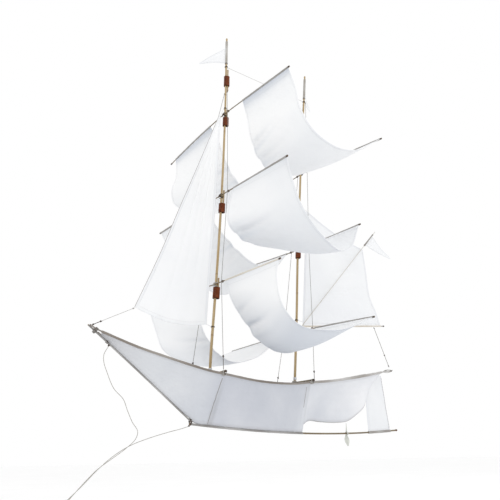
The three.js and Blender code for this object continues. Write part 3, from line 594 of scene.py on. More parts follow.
def make_bridle():
    knot = Piece()
    centre = arr(-444.6, 0, -100.6)
    knot.tube(knot_path(centre, (0.7, 0, 0.7), 3.1, 3.2, 60), 0.95, 8, lobes=3, depth=0.2, pitch=3)
    t = np.linspace(0.25, 2 * math.pi - 0.25, 40)
    down = unit(arr(-0.707, 0, -0.707))
    loop = arr(-452, 0, -108) + np.outer(-9 * np.cos(t), down) + np.outer(4.5 * np.sin(t), arr(0, 1, 0))
    knot.tube(loop, 0.5, 8, lobes=3, depth=0.13, pitch=2.6)
    tow = knot.make("tow_knot_loop", [CORD], replaces="tow_knot", slot="cord")
    for name, route, node in (("bow", BOW_LEG, "bridle_bow_leg"), ("keel", KEEL_LEG, "bridle_keel_leg")):
        path = Curve(route).run(0.7)
        leg = Piece().tube(path, 0.54, 7, lobes=3, depth=0.1, pitch=2.6)
        o = leg.make(f"bridle_{name}_cord", [CORD], replaces=node, slot="cord")
        long = float(run_length(path)[-1]) / 1000
        ties = Piece()
        if name == "bow":
            # The leg passes through the stem's cloth and is stopped by a knot round the stem.
            c = arr(-399.5, 0, 133.4)
            ties.tube(winding(c, (0, 1, 0), (-0.58, 0, 0.81), 2.9, 2.7, 2.2, 0.95), 0.42, 7, lobes=3, depth=0.2)
            ties.tube(knot_path(arr(-397.5, -3.2, 128), (0.1, 0, 1), 1.5, 1.7), 0.5, 7)
        else:
            ties.tube(knot_path(arr(-234.5, 3.4, 8.4), (1, 0.2, 0.1), 1.5, 1.7), 0.45, 7)
        tie = ties.make(f"bridle_{name}_tie", [DARK], slot="dark_binding")


make_bridle()


# ---------------------------------------------------------------- bamboo and rods
def bamboo_radius(s, r0, r1, gap, seed):
    """Taper with a slight swelling at each node, and how dark each point is."""
    rng = np.random.default_rng(seed)
    base = r0 + (r1 - r0) * s / s[-1]
    ring = np.zeros_like(s)
    at = rng.uniform(0.3, 0.8) * gap
    while at < s[-1]:
        ring += np.exp(-(((s - at) / 1.1) ** 2))
        at += gap * rng.uniform(0.8, 1.2)
    return base + 0.14 * ring, np.clip(0.55 * ring, 0, 1)


def bamboo_bar(piece, path, r0, r1, gap=95, seed=1, sides=14, slot=0, end=0.35):
    r, tone = bamboo_radius(run_length(path), r0, r1, gap, seed)
    tone = np.maximum(tone, 0.6 * np.exp(-run_length(path) / 3) + 0.6 * np.exp(-(run_length(path)[-1] - run_length(path)) / 3))
    piece.tube(path, r, sides, slot, tone, end=end)


def make_keel_and_stem():
    path = keel_at(np.linspace(-236, 352, 300))
    keel = Piece()
    bamboo_bar(keel, path, KEEL_R, KEEL_R, 120, 3, 18, end=0.0)
    # Forward of the aft mast the keel runs inside the hull cloth's bottom pocket.
    cover = keel_at(np.linspace(-235.4, 39, 220))
    s = run_length(cover)
    keel.tube(cover, KEEL_R + 0.2 + 0.07 * np.sin(s / 3.3) * np.sin(s / 10.7), 18, 1, 0.3 + 0.3 * np.sin(s / 19), end=0.1)
    keel.make("keel_bamboo", [AGED_BAMBOO, ROD_CLOTH], replaces="keel_rod", slot="bamboo")
    stem = Piece()
    points = [(-232, 0, 14.5), (-304, 0, 66.2), (-350, 0, 99), (-396, 0, 131), (-434, 0, 157.5)]
    bamboo_bar(stem, Curve(points).run(2.0), 1.15, 1.1, 90, 4)
    cover = Curve(points).run(1.6, 0.012, 0.998)
    s = run_length(cover)
    stem.tube(cover, 1.3 + 0.06 * np.sin(s / 3.1) * np.sin(s / 9.7), 16, 1, 0.3 + 0.3 * np.sin(s / 17), end=0.1)
    stem.make("stem_bamboo", [BAMBOO, ROD_CLOTH], replaces="stem_rod", slot="bamboo")
    cap = Piece()
    c = keel_at(354.4)
    d = unit(keel_at(356) - keel_at(350))
    path = winding(c, (0, 1, 0), np.cross(d, arr(0, 1, 0)), 1.75, 1.75, 5, 0.78)
    cap.tube(path, 0.45, 8, lobes=3, depth=0.2)
    cap.tube(np.array([c - d * 2.0, c + d * 2.1]), 1.45, 14)
    cap.make("keel_end_binding", [REDDISH], replaces="keel_end_cap", slot="dark_binding")


def make_gunwales():
    for name, side in SIDES:
        x = np.linspace(-431.8, 361.8, 260)
        path = SHEER.at(SHEER.where(0, x)) * arr(1, side, 1)
        rod = Piece()
        s = run_length(path)
        bare = np.clip((x - 290) / 4, 0, 1)
        ahead = x < -404
        rod.tube(path[ahead], 1.2, 12, 1, tone=0.3)
        ahead = np.r_[ahead[1:], False]
        rod.tube(path[~ahead], (1.2 + 0.28 * bare + 0.05 * np.sin(s / 3.1) * bare)[~ahead], 12)
        rod.make(f"gunwale_{name}_rod", [AFT_HEM, HULL_HEM], replaces=f"gunwale_{name}", slot="hemmed_rod")


def make_deck_spars():
    for name, x, half, mast in (("fore", -198, 52, FORE), ("aft", 18.5, 57, AFT)):
        spar = Piece()
        bamboo_bar(spar, np.array([arr(x, y, SPAR_Z) for y in np.linspace(-half, half, 80)]), 1.7, 1.7, 60, 5)
        for side in (-1, 1):
            c = arr(x, side * (half + 0.6), SPAR_Z)
            spar.tube(winding(c, (1, 0, 0), (0, 0, 1), 1.85, 1.85, 5, 0.75), 0.42, 7, 1, lobes=3, depth=0.2)
            g = sheer(x, side)
            lashing(spar, g, (0, 0, 1), arr(1, 0, 0), arr(0, 1, 0), 2.25, 1.7, SPAR_Z - g[2], 0.9, slot=2)
        p, t, r = on_mast(mast, SPAR_Z)
        n = arr(np.sign(x - p[0]), 0, 0)
        lashing(spar, p, n, arr(0, 1, 0), arr(0, 0, 1), r, 1.7, abs(x - p[0]), 0.9, slot=2, turns=4)
        spar.make(f"{name}_deck_spar_bound", [BAMBOO if name == "fore" else AGED_BAMBOO, DARK, CORD], replaces=f"{name}_deck_spar", slot="bamboo")


def make_end_lashings():
    bow = Piece()
    bow.tube(winding(arr(-421, 0, 150.1), (0, 1, 0), (0.58, 0, 0.81), 6.2, 4.9, 4.2, 1.0, wobble=0.12), 0.48, 8,
             lobes=3, depth=0.22)
    bow.tube(knot_path(arr(-421.0, -6.5, 150.6), (0.58, 0, 0.81), 1.5, 1.9), 0.5, 7)
    bow.make("bow_cord", [FINE], replaces="bow_lashing", slot="cord")
    foot = Piece()
    foot.tube(winding(arr(-234.4, 0, 14.2), (0, 1, 0), (0, 0, 1), 2.9, 5.6, 3.4, 0.8, wobble=0.12), 0.42, 8,
              lobes=3, depth=0.22)
    foot.tube(knot_path(arr(-234.4, -3.3, 13.6), (0, 0, 1), 1.5, 2.0), 0.45, 7)
    foot.make("forefoot_cord", [DARK], replaces="forefoot_lashing", slot="dark_binding")
    stern = Piece()
    p = sheer(345, 1)
    stern.tube(winding(arr(345, 0, p[2]), (0, 1, 0), (0, 0, 1), p[1] + 3.6, 3.2, 5.2, 0.92, wobble=0.12), 0.46, 8,
               lobes=3, depth=0.22)
    stern.tube(knot_path(arr(345.5, -p[1] - 3.3, p[2] - 0.6), (1, 0, 0.2), 1.5, 1.9), 0.5, 7, 1)
    stern.make("stern_cord", [CORD, DARK], replaces="stern_lashing", slot="cord")


def make_masts():
    for name, mast, seed in (("fore", FORE, 11), ("aft", AFT, 12)):
        path = mast.run(2.2)
        s = run_length(path)
        r, tone = bamboo_radius(s, 2.7, 2.15, 118, seed)
        foot = np.clip(s / 6, 0, 1)
        r = np.where(foot < 1, 0.35 + (r - 0.35) * foot, r)
        tone = np.maximum(tone, 0.5 * (1 - foot))
        bar = Piece().tube(path, r, 18, 0, tone, end=0.4)
        c, t, rr = on_mast(mast, 106.5)
        bar.tube(winding(c, (1, 0, 0), (0, 1, 0), rr + 0.5, rr + 0.5, 5, 1.0), 0.55, 8, 1, lobes=3, depth=0.15)
        bar.make(f"{name}_mast_bamboo", [BAMBOO, THREAD], replaces=f"{name}_mast", slot="bamboo")


make_keel_and_stem()
make_gunwales()
make_deck_spars()
make_end_lashings()
make_masts()


# ---------------------------------------------------------------- yards
class Yard:
    def __init__(self, name, mast, aft, z, port, star):
        self.name, self.aft, self.z = name, aft, z
        self.mast_at = on_mast(mast, z)
        self.mid = arr(self.mast_at[0][0] + aft * 4.1, 0, z)
        self.port, self.star = arr(*port), arr(*star)

    def at(self, y):
        y = np.asarray(y, float)
        tip = np.where((y < 0)[..., None], self.port, self.star)
        f = np.minimum(1, np.abs(y / tip[..., 1]))
        bend = f * (0.6 + 0.4 * f)
        p = self.mid + (tip - self.mid) * bend[..., None]
        p[..., 1] = y
        return p


YARDS = {y.name: y for y in (
    Yard("fore_yard_upper", FORE, -1, 672, (-162, -212, 668), (-161, 212, 640)),
    Yard("fore_yard_middle", FORE, -1, 467, (-186, -219, 456), (-180, 219, 452)),
    Yard("fore_yard_lower", FORE, -1, 271, (-184, -188, 271), (-208, 206, 277)),
    Yard("aft_yard_upper", AFT, 1, 604, (85, -236, 590), (83, 230, 588)),
    Yard("aft_yard_middle", AFT, 1, 400, (59, -178, 403), (66, 178, 412)),
    Yard("aft_yard_lower", AFT, 1, 207, (34, -208, 197), (26, 209, 195)),
)}
LOCKS = {"fore_yard_upper": (650, 686), "fore_yard_middle": (436, 481), "fore_yard_lower": (250, 285),
         "aft_yard_middle": (383, 414)}


PEG_R = 1.6


def peg_side(mast):
    turn = math.radians(-40 if mast is FORE else -90)
    return arr(math.cos(turn), math.sin(turn), 0)


def peg_run(mast, z0, z1):
    out = []
    for z in np.linspace(z0, z1, 14):
        p, _, r = on_mast(mast, z)
        out.append(p + peg_side(mast) * (r + PEG_R + 0.45))
    return np.array(out)


def make_yards():
    for i, (name, y) in enumerate(YARDS.items()):
        bar = Piece()
        path = y.at(np.linspace(y.port[1], y.star[1], 160))
        bamboo_bar(bar, path, 1.1, 1.1, 55, 20 + i, 12)
        for tip in (0, -1):
            d = unit(path[tip] - path[1 if tip == 0 else -2])
            c = path[tip] - d * 2.0
            side = unit(np.cross(d, arr(0, 0, 1)))
            bar.tube(winding(c, side, np.cross(d, side), 1.32, 1.32, 5, 0.8), 0.42, 6, 1)
        bar.make(f"{name}_bamboo", [AGED_BAMBOO, DARK], replaces=name, slot="bamboo")
        mast = FORE if y.aft < 0 else AFT
        p, t, r = y.mast_at
        tie = Piece()
        d = abs(y.mid[0] - p[0])
        dark = 1 if name in ("aft_yard_upper", "fore_yard_upper", "fore_yard_middle") else 0
        lashing(tie, p, (y.aft, 0, 0), arr(0, 1, 0), arr(0, 0, 1), r, 1.1, d, -LASH_GAP, slot=dark, turns=4, r=0.4)
        if name in LOCKS:
            run = peg_run(mast, *LOCKS[name])
            bamboo_bar(tie, run, PEG_R, PEG_R, 400, 40 + i, 12, slot=2)
        tie.make(f"{name}_tie", [CORD, DARK, BAMBOO], replaces=f"{name}_lashing",
                 slot="bamboo" if name in LOCKS else "cord")
    peg = Piece()
    bamboo_bar(peg, peg_run(FORE, 738, 797), PEG_R, PEG_R, 400, 50, 12)
    peg.make("topmast_peg_bamboo", [BAMBOO], replaces="topmast_peg", slot="bamboo")


make_yards()


# ---------------------------------------------------------------- leather sleeves
def make_sleeve(name, mast, z0, z1, body):
    p0, _, _ = on_mast(mast, z0)
    p1, _, _ = on_mast(mast, z1)
    _, _, r_mid = on_mast(mast, (z0 + z1) / 2)
    up = unit(p1 - p0)
    away = peg_side(mast)
    ey = unit(-away + up * (away @ up))
    ex = np.cross(ey, up)
    yc = -(r_mid + PEG_R + 0.45)
    length = np.linalg.norm(p1 - p0)

    def outline(pad, n=40):
        big, small = r_mid + pad, PEG_R + pad
        gape = math.asin((big - small) / -yc)
        a = np.linspace(-gape, math.pi + gape, n)
        b = np.linspace(math.pi + gape, 2 * math.pi - gape, n // 2)
        ring = np.concatenate([np.stack([np.cos(a) * big, np.sin(a) * big], 1),
                               np.stack([np.cos(b) * small, np.sin(b) * small + yc], 1)])
        return ring

    inner, outer = outline(0.36), outline(2.5)
    n = len(outer)
    heights = list(np.linspace(0.06, 0.94, 12))
    rows = [(0.0, 0.0), (0.0, 0.72), (0.25 / length, 0.93)] + [(h, 1.0) for h in heights]
    rows += [(1 - 0.25 / length, 0.93), (1.0, 0.72), (1.0, 0.0)]
    rings, uv, tone = [], [], []
    around = np.r_[0, np.cumsum(np.linalg.norm(np.diff(outer, axis=0), axis=1))]
    for h, share in rows:
        wave = 1 + 0.03 * math.sin(7 * h) * share
        flat = inner + (outer - inner) * share * wave
        rings.append(p0 + up * (h * length) + flat[:, :1] * ex + flat[:, 1:] * ey)
        uv.append(np.stack([around / 10, np.full(n, h * length / 10)], 1))
        edge = 0.75 if share < 0.95 else 0.3 * math.exp(-min(h, 1 - h) * length / 1.5)
        tone.append(np.full(n, edge))
    m = len(rows)
    faces = []
    for j in range(m):
        for i in range(n):
            k = (i + 1) % n
            jj = (j + 1) % m
            faces.append((j * n + i, j * n + k, jj * n + k, jj * n + i))
    piece = Piece()
    piece.add(np.array(rings), faces, np.array(uv), np.array(tone))
    # The leather overlaps down its forward side and is sewn there.
    seam = ex * (-(r_mid + 2.6))
    for k in range(int(length / 4)):
        c = p0 + up * (2.4 + 4 * k) + seam
        piece.tube(np.array([c - ey * 1.3 - up * 0.7, c - ex * 0.12, c + ey * 1.3 + up * 0.7]), 0.26, 5, 1)
    strip = np.array([p0 + up * (0.8 + f * (length - 1.6)) - ex * (r_mid + 2.4) + ey * 1.9 for f in np.linspace(0, 1, 12)])
    piece.tube(strip, 0.3, 6, 0, 0.5)
    piece.make(f"{name}_leather", [LEATHER, DARK], body, replaces=name, slot="leather")


make_sleeve("fore_sleeve_top", FORE, 751, 778, "sleeve_top")
make_sleeve("fore_sleeve_upper", FORE, 643, 665, "sleeve_upper")
make_sleeve("fore_sleeve_middle", FORE, 429, 450, "sleeve_middle")
make_sleeve("fore_sleeve_lower", FORE, 243, 266, "sleeve_lower")
make_sleeve("aft_sleeve_middle", AFT, 377, 395, "sleeve_aft")


# ---------------------------------------------------------------- square sails
# under is painted shade on cloth that faces down, port then starboard; brow adds painted shade under the fore pocket,
# and the middle sail's port side gets extra painted shade.
SAILS = {
    "upper": dict(
        under=(0.24, 0.14), brow=0.5, fore="fore_yard_upper", aft="aft_yard_upper", cut=(0.188, 0.32),
        port=((67, 208), (44, 232), [(-146, 635), (-133, 588), (-106, 552), (-56, 535), (18, 560)],
              [(-148, 628), (-142, 580), (-113, 539), (-57, 521), (10, 538)]),
        starboard=((50, 190), (44, 228), [(-134, 634), (-119, 597), (-88, 554), (-40, 537), (20, 555)],
                   [(-156, 600), (-164, 560), (-152, 535), (-105, 527), (-37, 545)]),
        folds=[(0.30, 0.16, 7.5), (0.40, 0.10, 6.5), (0.50, 0.05, 1.5)]),
    "middle": dict(
        under=(0.34, 0.2), port_shade=0.1, fore="fore_yard_middle", aft="aft_yard_middle", cut=(0.167, 0.31),
        port=((48, 215), (42, 174), [(-186, 420), (-186, 385), (-150, 362), (-65, 362), (14, 379)],
              [(-167, 425), (-140, 382), (-90, 343), (-30, 322), (20, 343)]),
        starboard=((48, 215), (42, 174), [(-156, 436), (-127, 407), (-86, 380), (-40, 358), (14, 357)],
                   [(-167, 422), (-140, 380), (-90, 342), (-30, 321), (20, 343)]),
        folds=[(0.24, 0.14, 2.5), (0.33, 0.12, 8.0), (0.44, 0.02, 1.5)]),
    "lower": dict(
        under=(0.85, 0.45), fore="fore_yard_lower", aft="aft_yard_lower", cut=(0.150, 0.32),
        port=((35, 184), (54, 204), [(-172, 234), (-144, 196), (-102, 159), (-47, 145), (1, 163)],
              [(-193, 236), (-186, 188), (-150, 158), (-80, 158), (-15, 175)]),
        starboard=((40, 203), (54, 205), [(-189, 232), (-180, 196), (-151, 160), (-104, 138), (-35, 152)],
                   [(-205, 254), (-190, 215), (-170, 178), (-120, 157), (-45, 166)]),
        folds=[(0.22, 0.14, 2.0), (0.33, 0.10, 7.5), (0.52, 0.04, 1.6)]),
}


def hem_tube(yard, y0, y1):
    """The pocket sewn round a yard, puckered along its seam."""
    y = np.linspace(y0, y1, int(abs(y1 - y0) / 2) + 2)
    path = yard.at(y)
    s = run_length(path)
    r = 1.88 + 0.16 * np.sin(s / 4.3) * np.sin(s / 11.7) + 0.22 * (np.exp(-s / 1.5) + np.exp(-(s[-1] - s) / 1.5))
    shade = 0.12 + 0.12 * np.sin(s / 17.0)
    return path, r, np.clip(shade, 0, 1)


def make_sail(level, spec):
    for side_name, side in SIDES:
        fore, aft = YARDS[spec["fore"]], YARDS[spec["aft"]]
        fore_y, aft_y, *profiles = spec[side_name]

        def edge(k):
            yf, ya = side * fore_y[k], side * aft_y[k]
            f, a = fore.at(yf), aft.at(ya)
            prof = profiles[k]
            n = len(prof)
            mids = [arr(x, yf + (ya - yf) * (i + 1) / (n + 1), z) for i, (x, z) in enumerate(prof)]
            first = f + unit(mids[0] - f) * 1.88
            last = a + unit(mids[-1] - a) * 1.88
            return Curve([first, *mids, last])

        inner, outer = edge(0), edge(1)
        flip = 1.0 if side < 0 else 0.8

        def P(u, v):
            a, b = inner.at(v), outer.at(v)
            w = u[..., None]
            q = a + (b - a) * w
            rise = 10 * np.sin(math.pi * u) * np.sin(math.pi * v)
            ends = np.sin(math.pi * np.clip(v, 0, 1)) ** 0.7
            out = 0.0
            for v0, slope, size in spec["folds"]:
                d = (v - (v0 - slope * u)) / 0.022
                out = out + flip * size * np.exp(-d * d) * np.exp(-((u / 0.42) ** 2)) * np.clip(u / 0.07, 0.22, 1)
                d2 = (v - (v0 - slope * u) - 0.05) / 0.03
                out = out - flip * 0.4 * size * np.exp(-d2 * d2) * np.exp(-((u / 0.5) ** 2))
            # Fine gathers fall from both yards, and long soft waves cross the belly.
            gather = 0.9 * np.sin(u * 46 + 3 * np.sin(5 * u)) * (np.exp(-v / 0.05) + np.exp(-(1 - v) / 0.05))
            out = out + gather * np.sin(math.pi * np.clip(v * 8, 0, 0.5)) * np.sin(math.pi * np.clip((1 - v) * 8, 0, 0.5))
            out = out + 1.6 * ends * np.sin(5.3 * u + 7.7 * v + 1.3) * np.sin(3.1 * u - 9.0 * v)
            q = q + np.stack([0 * u, 0 * u, -rise + out * 0.9], -1)
            return q + np.stack([out * 0.5 * ends, 0 * u, 0 * u], -1)

        sail = Piece()

        def tone(u, v):
            # Painted shade near both yards, and extra painted shade over the port side of the middle sail.
            shade = 0.28 * np.exp(-v / 0.03) + 0.16 * np.exp(-(1 - v) / 0.12) + (side < 0) * spec.get("port_shade", 0)
            # The pocket shades the cloth just under it.
            shade = shade + spec.get("brow", 0) * np.exp(-((v / (0.05 - 0.02 * u)) ** 2))
            # Painted shade on the shadow side of each fold.
            for v0, slope, size in spec["folds"]:
                d = (v - (v0 - slope * u) - 0.026) / 0.016
                shade = shade + 0.055 * size * np.exp(-d * d) * np.exp(-((u / 0.36) ** 2))
            return shade

        sail.sheet(P, 34, 72, 0.42, hems=("u0", "u1"), hem=5.5, seam=0.05, tone=tone,
                   under=np.atleast_1d(spec["under"])[-1 if side > 0 else 0])
        for u in (0.024, 0.976):
            sail.stitches(P, [(u, 0.02), (u, 0.98)], 0.5)
        for v in (0.028, 0.972):
            sail.stitches(P, [(0.03, v), (0.97, v)], 0.42)
        for yard, span, end in ((fore, fore_y, "fore"), (aft, aft_y, "aft")):
            path, r, shade = hem_tube(yard, side * span[0], side * span[1])
            pale = level == "lower" and end == "fore"
            pocket = Piece().tube(path, r * (0.8 if pale else 1.0), 14, 0, shade, end=0.15)
            pocket.make(f"sail_{level}_{side_name}_{end}_pocket", [PALE_HEM if pale else SLEEVED],
                                    slot="hemmed_rod")
        node = f"sail_{level}_{side_name}"
        o = sail.make(f"{node}_cloth", [SAIL, THREAD], replaces=node, slot="sailcloth")


for level, spec in SAILS.items():
    make_sail(level, spec)


# ---------------------------------------------------------------- hull cloth
LOWER_MAIN = xz([(-410.5, 143.4), (-403, 138.2), (-352, 102.6), (-290, 58.2), (-243, 25.2), (-237.5, 22.2), (-230.5, 15.5), (-219, 11.8),
                 (-196, 10.3), (-100, 5.1), (-20, 2.6), (37, 1.8)], 0.8)
LOWER_AFT = xz([(37.8, 15), (56, 24), (94, 23), (142, 23), (178, 27), (208, 40), (240, 60), (251, 80), (262, 104)], 1.2)


def hull_surface(side, top, low_points, s0, s1, belly):
    low = Curve(low_points)
    flip = arr(1, side, 1)

    def P(u, v):
        f = np.where(u < s0, u / s0 * s1, s1 + (u - s0) / (1 - s0) * (1 - s1))
        b = low.at(f) * flip
        t = SHEER.at(SHEER.where(0, top[0] + (top[1] - top[0]) * u)) * flip
        t = t + unit(b - t) * 2.0
        q = b + (t - b) * v[..., None]
        # The cloth is stretched hard, with slight pull lines and a small hollow between frame and keel.
        hollow = belly * np.sin(math.pi * np.clip(u, 0, 1)) * np.sin(math.pi * v)
        pull = 0.55 * np.sin(26 * u + 5 * v) * np.sin(math.pi * v) * np.exp(-(((u - 0.93) / 0.16) ** 2))
        pull = pull + 0.5 * np.sin(31 * v + 9 * u) * np.sin(math.pi * v) * np.sin(math.pi * u) * 0.6
        inward = (pull - hollow) * 1.0
        return q + np.stack([0 * u, side * inward, 0 * u], -1)

    return P


def slit_at(P, x, nu=200):
    """The u share where the top of the panel reaches x."""
    u = np.linspace(0, 1, nu)
    return float(np.interp(x, P(u, np.ones(nu))[:, 0], u))


def make_hull():
    jobs = (("main", (-413, 12.1), LOWER_MAIN, 0.5, 0.52, 1.2, (0.42, 0.10), HULL_HEM, -198),
            ("aft", (12.7, 288), LOWER_AFT, 0.5, 0.5, 2.6, (0.278, 0.10), AFT_HEM, 18.5))
    for part, top, low, s0, s1, belly, cut, hem_mat, spar_x in jobs:
        for name, side in SIDES:
            P = hull_surface(side, top, low, s0, s1, belly)
            panel = Piece()
            us = slit_at(P, spar_x)

            def tone(u, v):
                shade = 0.5 * np.exp(-v / 0.012) + 0.2 * np.exp(-(1 - v) / 0.03)
                p = P(u, v)
                if part == "main":
                    # Painted shade: the mast and the stem's foot behind the cloth show as a soft dark band.
                    f = FORE.where(2, p[..., 2])
                    m = FORE.at(f)
                    near = np.exp(-(((p[..., 0] - m[..., 0]) / 4.2) ** 2))
                    shade = shade + 0.5 * near * np.exp(-((np.abs(p[..., 1]) / 32) ** 2))
                    # The narrow bow is doubled cloth over its rods, so it looks greyer.
                    shade = shade + 0.55 * np.exp(-(p[..., 0] + 413) / 17)
                return shade

            panel.sheet(P, 72 if part == "main" else 54, 26, 0.42, tone=tone, hems=("u0", "u1", "v0"), hem=4.5)
            first = 0.12 if part == "main" else 0.02
            for line in ([(first, 0.045), (0.98, 0.045)], [(0.978, 0.03), (0.978, 0.95)], [(first, 0.955), (0.985, 0.955)]):
                panel.stitches(P, line, 0.45, every=3.6)
            if part == "main":
                # A corded seam runs from the deck spar down to the keel, leaning forward.
                foot = slit_at(lambda u, v: P(u, v * 0), -199)
                steps = np.linspace(0, 1, 60)
                line = P(us + (foot - us) * steps, 0.93 - 0.91 * steps)
                panel.tube(line + arr(0, side * 0.25, 0), 0.62, 8, 2, 0.4, lobes=3, depth=0.15)
                line = P(np.full(60, 0.985), 0.93 - 0.42 * steps)
                panel.tube(line + arr(0, side * 0.2, 0), 0.5, 8, 2, 0.2)
            else:
                v0 = np.zeros(160)
                panel.tube(P(np.linspace(0.02, 0.97, 160), v0), 0.55, 8, 2, 0.5, lobes=3, depth=0.15)
            x = np.linspace(top[0], top[1], 200)
            path = SHEER.at(SHEER.where(0, x)) * arr(1, side, 1)
            s = run_length(path)
            r = (2.0 if part == "main" else 2.4) + 0.14 * np.sin(s / 5.1) * np.sin(s / 13.0)
            hem = Piece().tube(path, r, 16, 0, np.clip(0.3 + 0.3 * np.sin(s / 23.0), 0, 1), end=0.1)
            hem_piece = hem.make(f"hull_{part}_{name}_top_hem", [hem_mat], slot="hemmed_rod" if part == "main" else "hullcloth")
            node = f"hull_{part}_{name}"
            o = panel.make(f"{node}_cloth", [HULL, THREAD, ROD_CLOTH], replaces=node, slot="hullcloth")


make_hull()


# ---------------------------------------------------------------- stern fin
def make_fin():
    top, foot = ((308, 134), (316, 135.5)), ((250, 8.2), (329, 12.8))

    def P(u, v):
        x0 = foot[0][0] + (top[0][0] - foot[0][0]) * v**6
        x1 = foot[1][0] + (top[1][0] - foot[1][0]) * v
        x = x0 + (x1 - x0) * u
        base = keel_z(x) + KEEL_R + 0.9
        z = base + (135 - base) * v
        y = 1.0 * np.sin(math.pi * u) * np.sin(2.2 * math.pi * v + 0.5) + 0.35 * np.sin(14 * v + 9 * u)
        return np.stack([x, y * np.sin(math.pi * np.clip(v, 0, 1)), z], -1)

    fin = Piece()
    fin.sheet(P, 26, 40, 0.42, hems=("u0", "u1"), hem=4.0, tone=lambda u, v: 0.14 + 0.03 * np.sin(7 * v + 2 * u))
    fin.stitches(P, [(0.08, 0.03), (0.10, 0.9)], 0.5)
    fin.stitches(P, [(0.985, 0.03), (0.97, 0.96)], 0.45, slot=2, every=6.0, long=3.2, r=0.5)
    fin.stitches(P, [(0.04, 0.02), (0.97, 0.02)], 0.45)
    x = np.linspace(250, 330, 60)
    s = np.arange(60)
    pocket = Piece().tube(keel_at(x), KEEL_R + 1.1 + 0.15 * np.sin(s / 3.1) * np.sin(s / 7.7), 18, 0,
                          0.25 + 0.2 * np.sin(s / 6), end=0.1)
    hem = pocket.make("stern_fin_pocket", [SLEEVED], slot="hemmed_rod")
    o = fin.make("stern_fin_cloth", [SHADED, THREAD, DARK], replaces="stern_fin", slot="sailcloth")


make_fin()


# ---------------------------------------------------------------- jib
def mast_tie(piece, mast, z, slot):
    p, t, r = on_mast(mast, z)
    piece.tube(winding(p, (1, 0, 0), (0, 1, 0), r + 0.35 + 0.45, r + 0.35 + 0.45, 2.6, 0.9), 0.42, 7, slot, lobes=3,
               depth=0.2)
    return p, r


def make_jib():
    luff = Curve([(-353, 0, 199), (-308, 0, 306), (-268, 0, 412), (-215, 0, 550), (-172.5, 0, 664)])
    leech = Curve([(-202, 0, 189.5), (-195, 0, 290), (-184, 0, 420), (-177.5, 0, 530), (-168.5, 0, 668)])

    def P(u, v):
        a, b = luff.at(v), leech.at(v)
        q = a + (b - a) * u[..., None]
        z = -12 * np.sin(math.pi * u) * (1 - v) ** 4
        full = np.sin(math.pi * np.minimum(1, v * 1.1)) ** 2
        y = 7 * np.sin(math.pi * u) * full
        # Long upright creases where the cloth was folded, and pulls from the tack and the clew.
        for at, size in ((0.34, 1.3), (0.52, 0.9), (0.71, 1.5), (0.86, 0.8)):
            d = (u - at - 0.02 * np.sin(3 * v)) / 0.02
            y = y + size * np.exp(-d * d) * np.sin(math.pi * np.clip(v * 1.05, 0, 1))
        y = y + 1.2 * np.sin(9 * v + 4 * u) * np.sin(math.pi * u) * np.sin(math.pi * v)
        y = y + 1.0 * np.sin(20 * u) * np.exp(-v / 0.06) * np.sin(math.pi * u)
        return q + np.stack([0 * u, y, z], -1)

    jib = Piece()
    jib.sheet(P, 44, 84, 0.42, hems=("u0", "u1", "v0"), hem=5.0, tone=lambda u, v: 0.05 + 0.03 * np.sin(6 * v))
    for line in ([(0.03, 0.02), (0.06, 0.7)], [(0.972, 0.02), (0.94, 0.7)], [(0.03, 0.012), (0.97, 0.012)]):
        jib.stitches(P, line, 0.5)
    for z, foot, grain in ((690, arr(-170.5, 0, 663), 1), (187, arr(-203.5, 0, 190.5), 1)):
        p, r = mast_tie(jib, FORE, z, 2)
        jib.tube(np.array([foot, p - arr(r + 0.8, 0, 0)]), 0.4, 7, 1, lobes=3, depth=0.2)
    v = np.linspace(0, 1, 260)
    edge = P(np.zeros(260), v)
    rope = Piece().tube(edge - arr(0.4, 0, -0.1), 0.55, 8, 0, lobes=3, depth=0.2)
    rope_piece = rope.make("jib_luff_cord", [LIGHT_LINE], slot="cord")
    edge = P(np.ones(260), v)
    bead = Piece().tube(edge, 0.5, 8, 0, lobes=3, depth=0.15).make("jib_leech_cord", [THREAD], slot="cord")
    o = jib.make("jib_cloth", [SAIL, THREAD, DARK], replaces="jib", slot="sailcloth")
    tack = Piece()
    line = np.linspace(arr(-354, 0, 197.5), arr(-427, 0, 158.4), 130)
    tack.tube(line, 0.44, 8, 0, lobes=3, depth=0.2, pitch=2.6)
    tack.tube(knot_path(line[104], line[-1] - line[0], 1.3, 1.9), 0.45, 6, 1)
    tack.tube(line[104:], 0.62, 8, 1, lobes=2, depth=0.25, pitch=2.4)
    tack.tube(knot_path(line[126], line[-1] - line[0], 1.2, 1.8), 0.45, 6, 1)
    tack.tube(knot_path(line[3], line[-1] - line[0], 1.2, 1.7), 0.42, 6, 0)
    tack.make("jib_tack_cord", [LIGHT_LINE, DARK], replaces="jib_tack_line", slot="cord")


make_jib()


# ---------------------------------------------------------------- spanker, boom and sprit
def boom_at(x):
    x = np.asarray(x, float)
    return np.stack([x, 0 * x, 219.5 + (x - 47) * 41 / 300], -1)


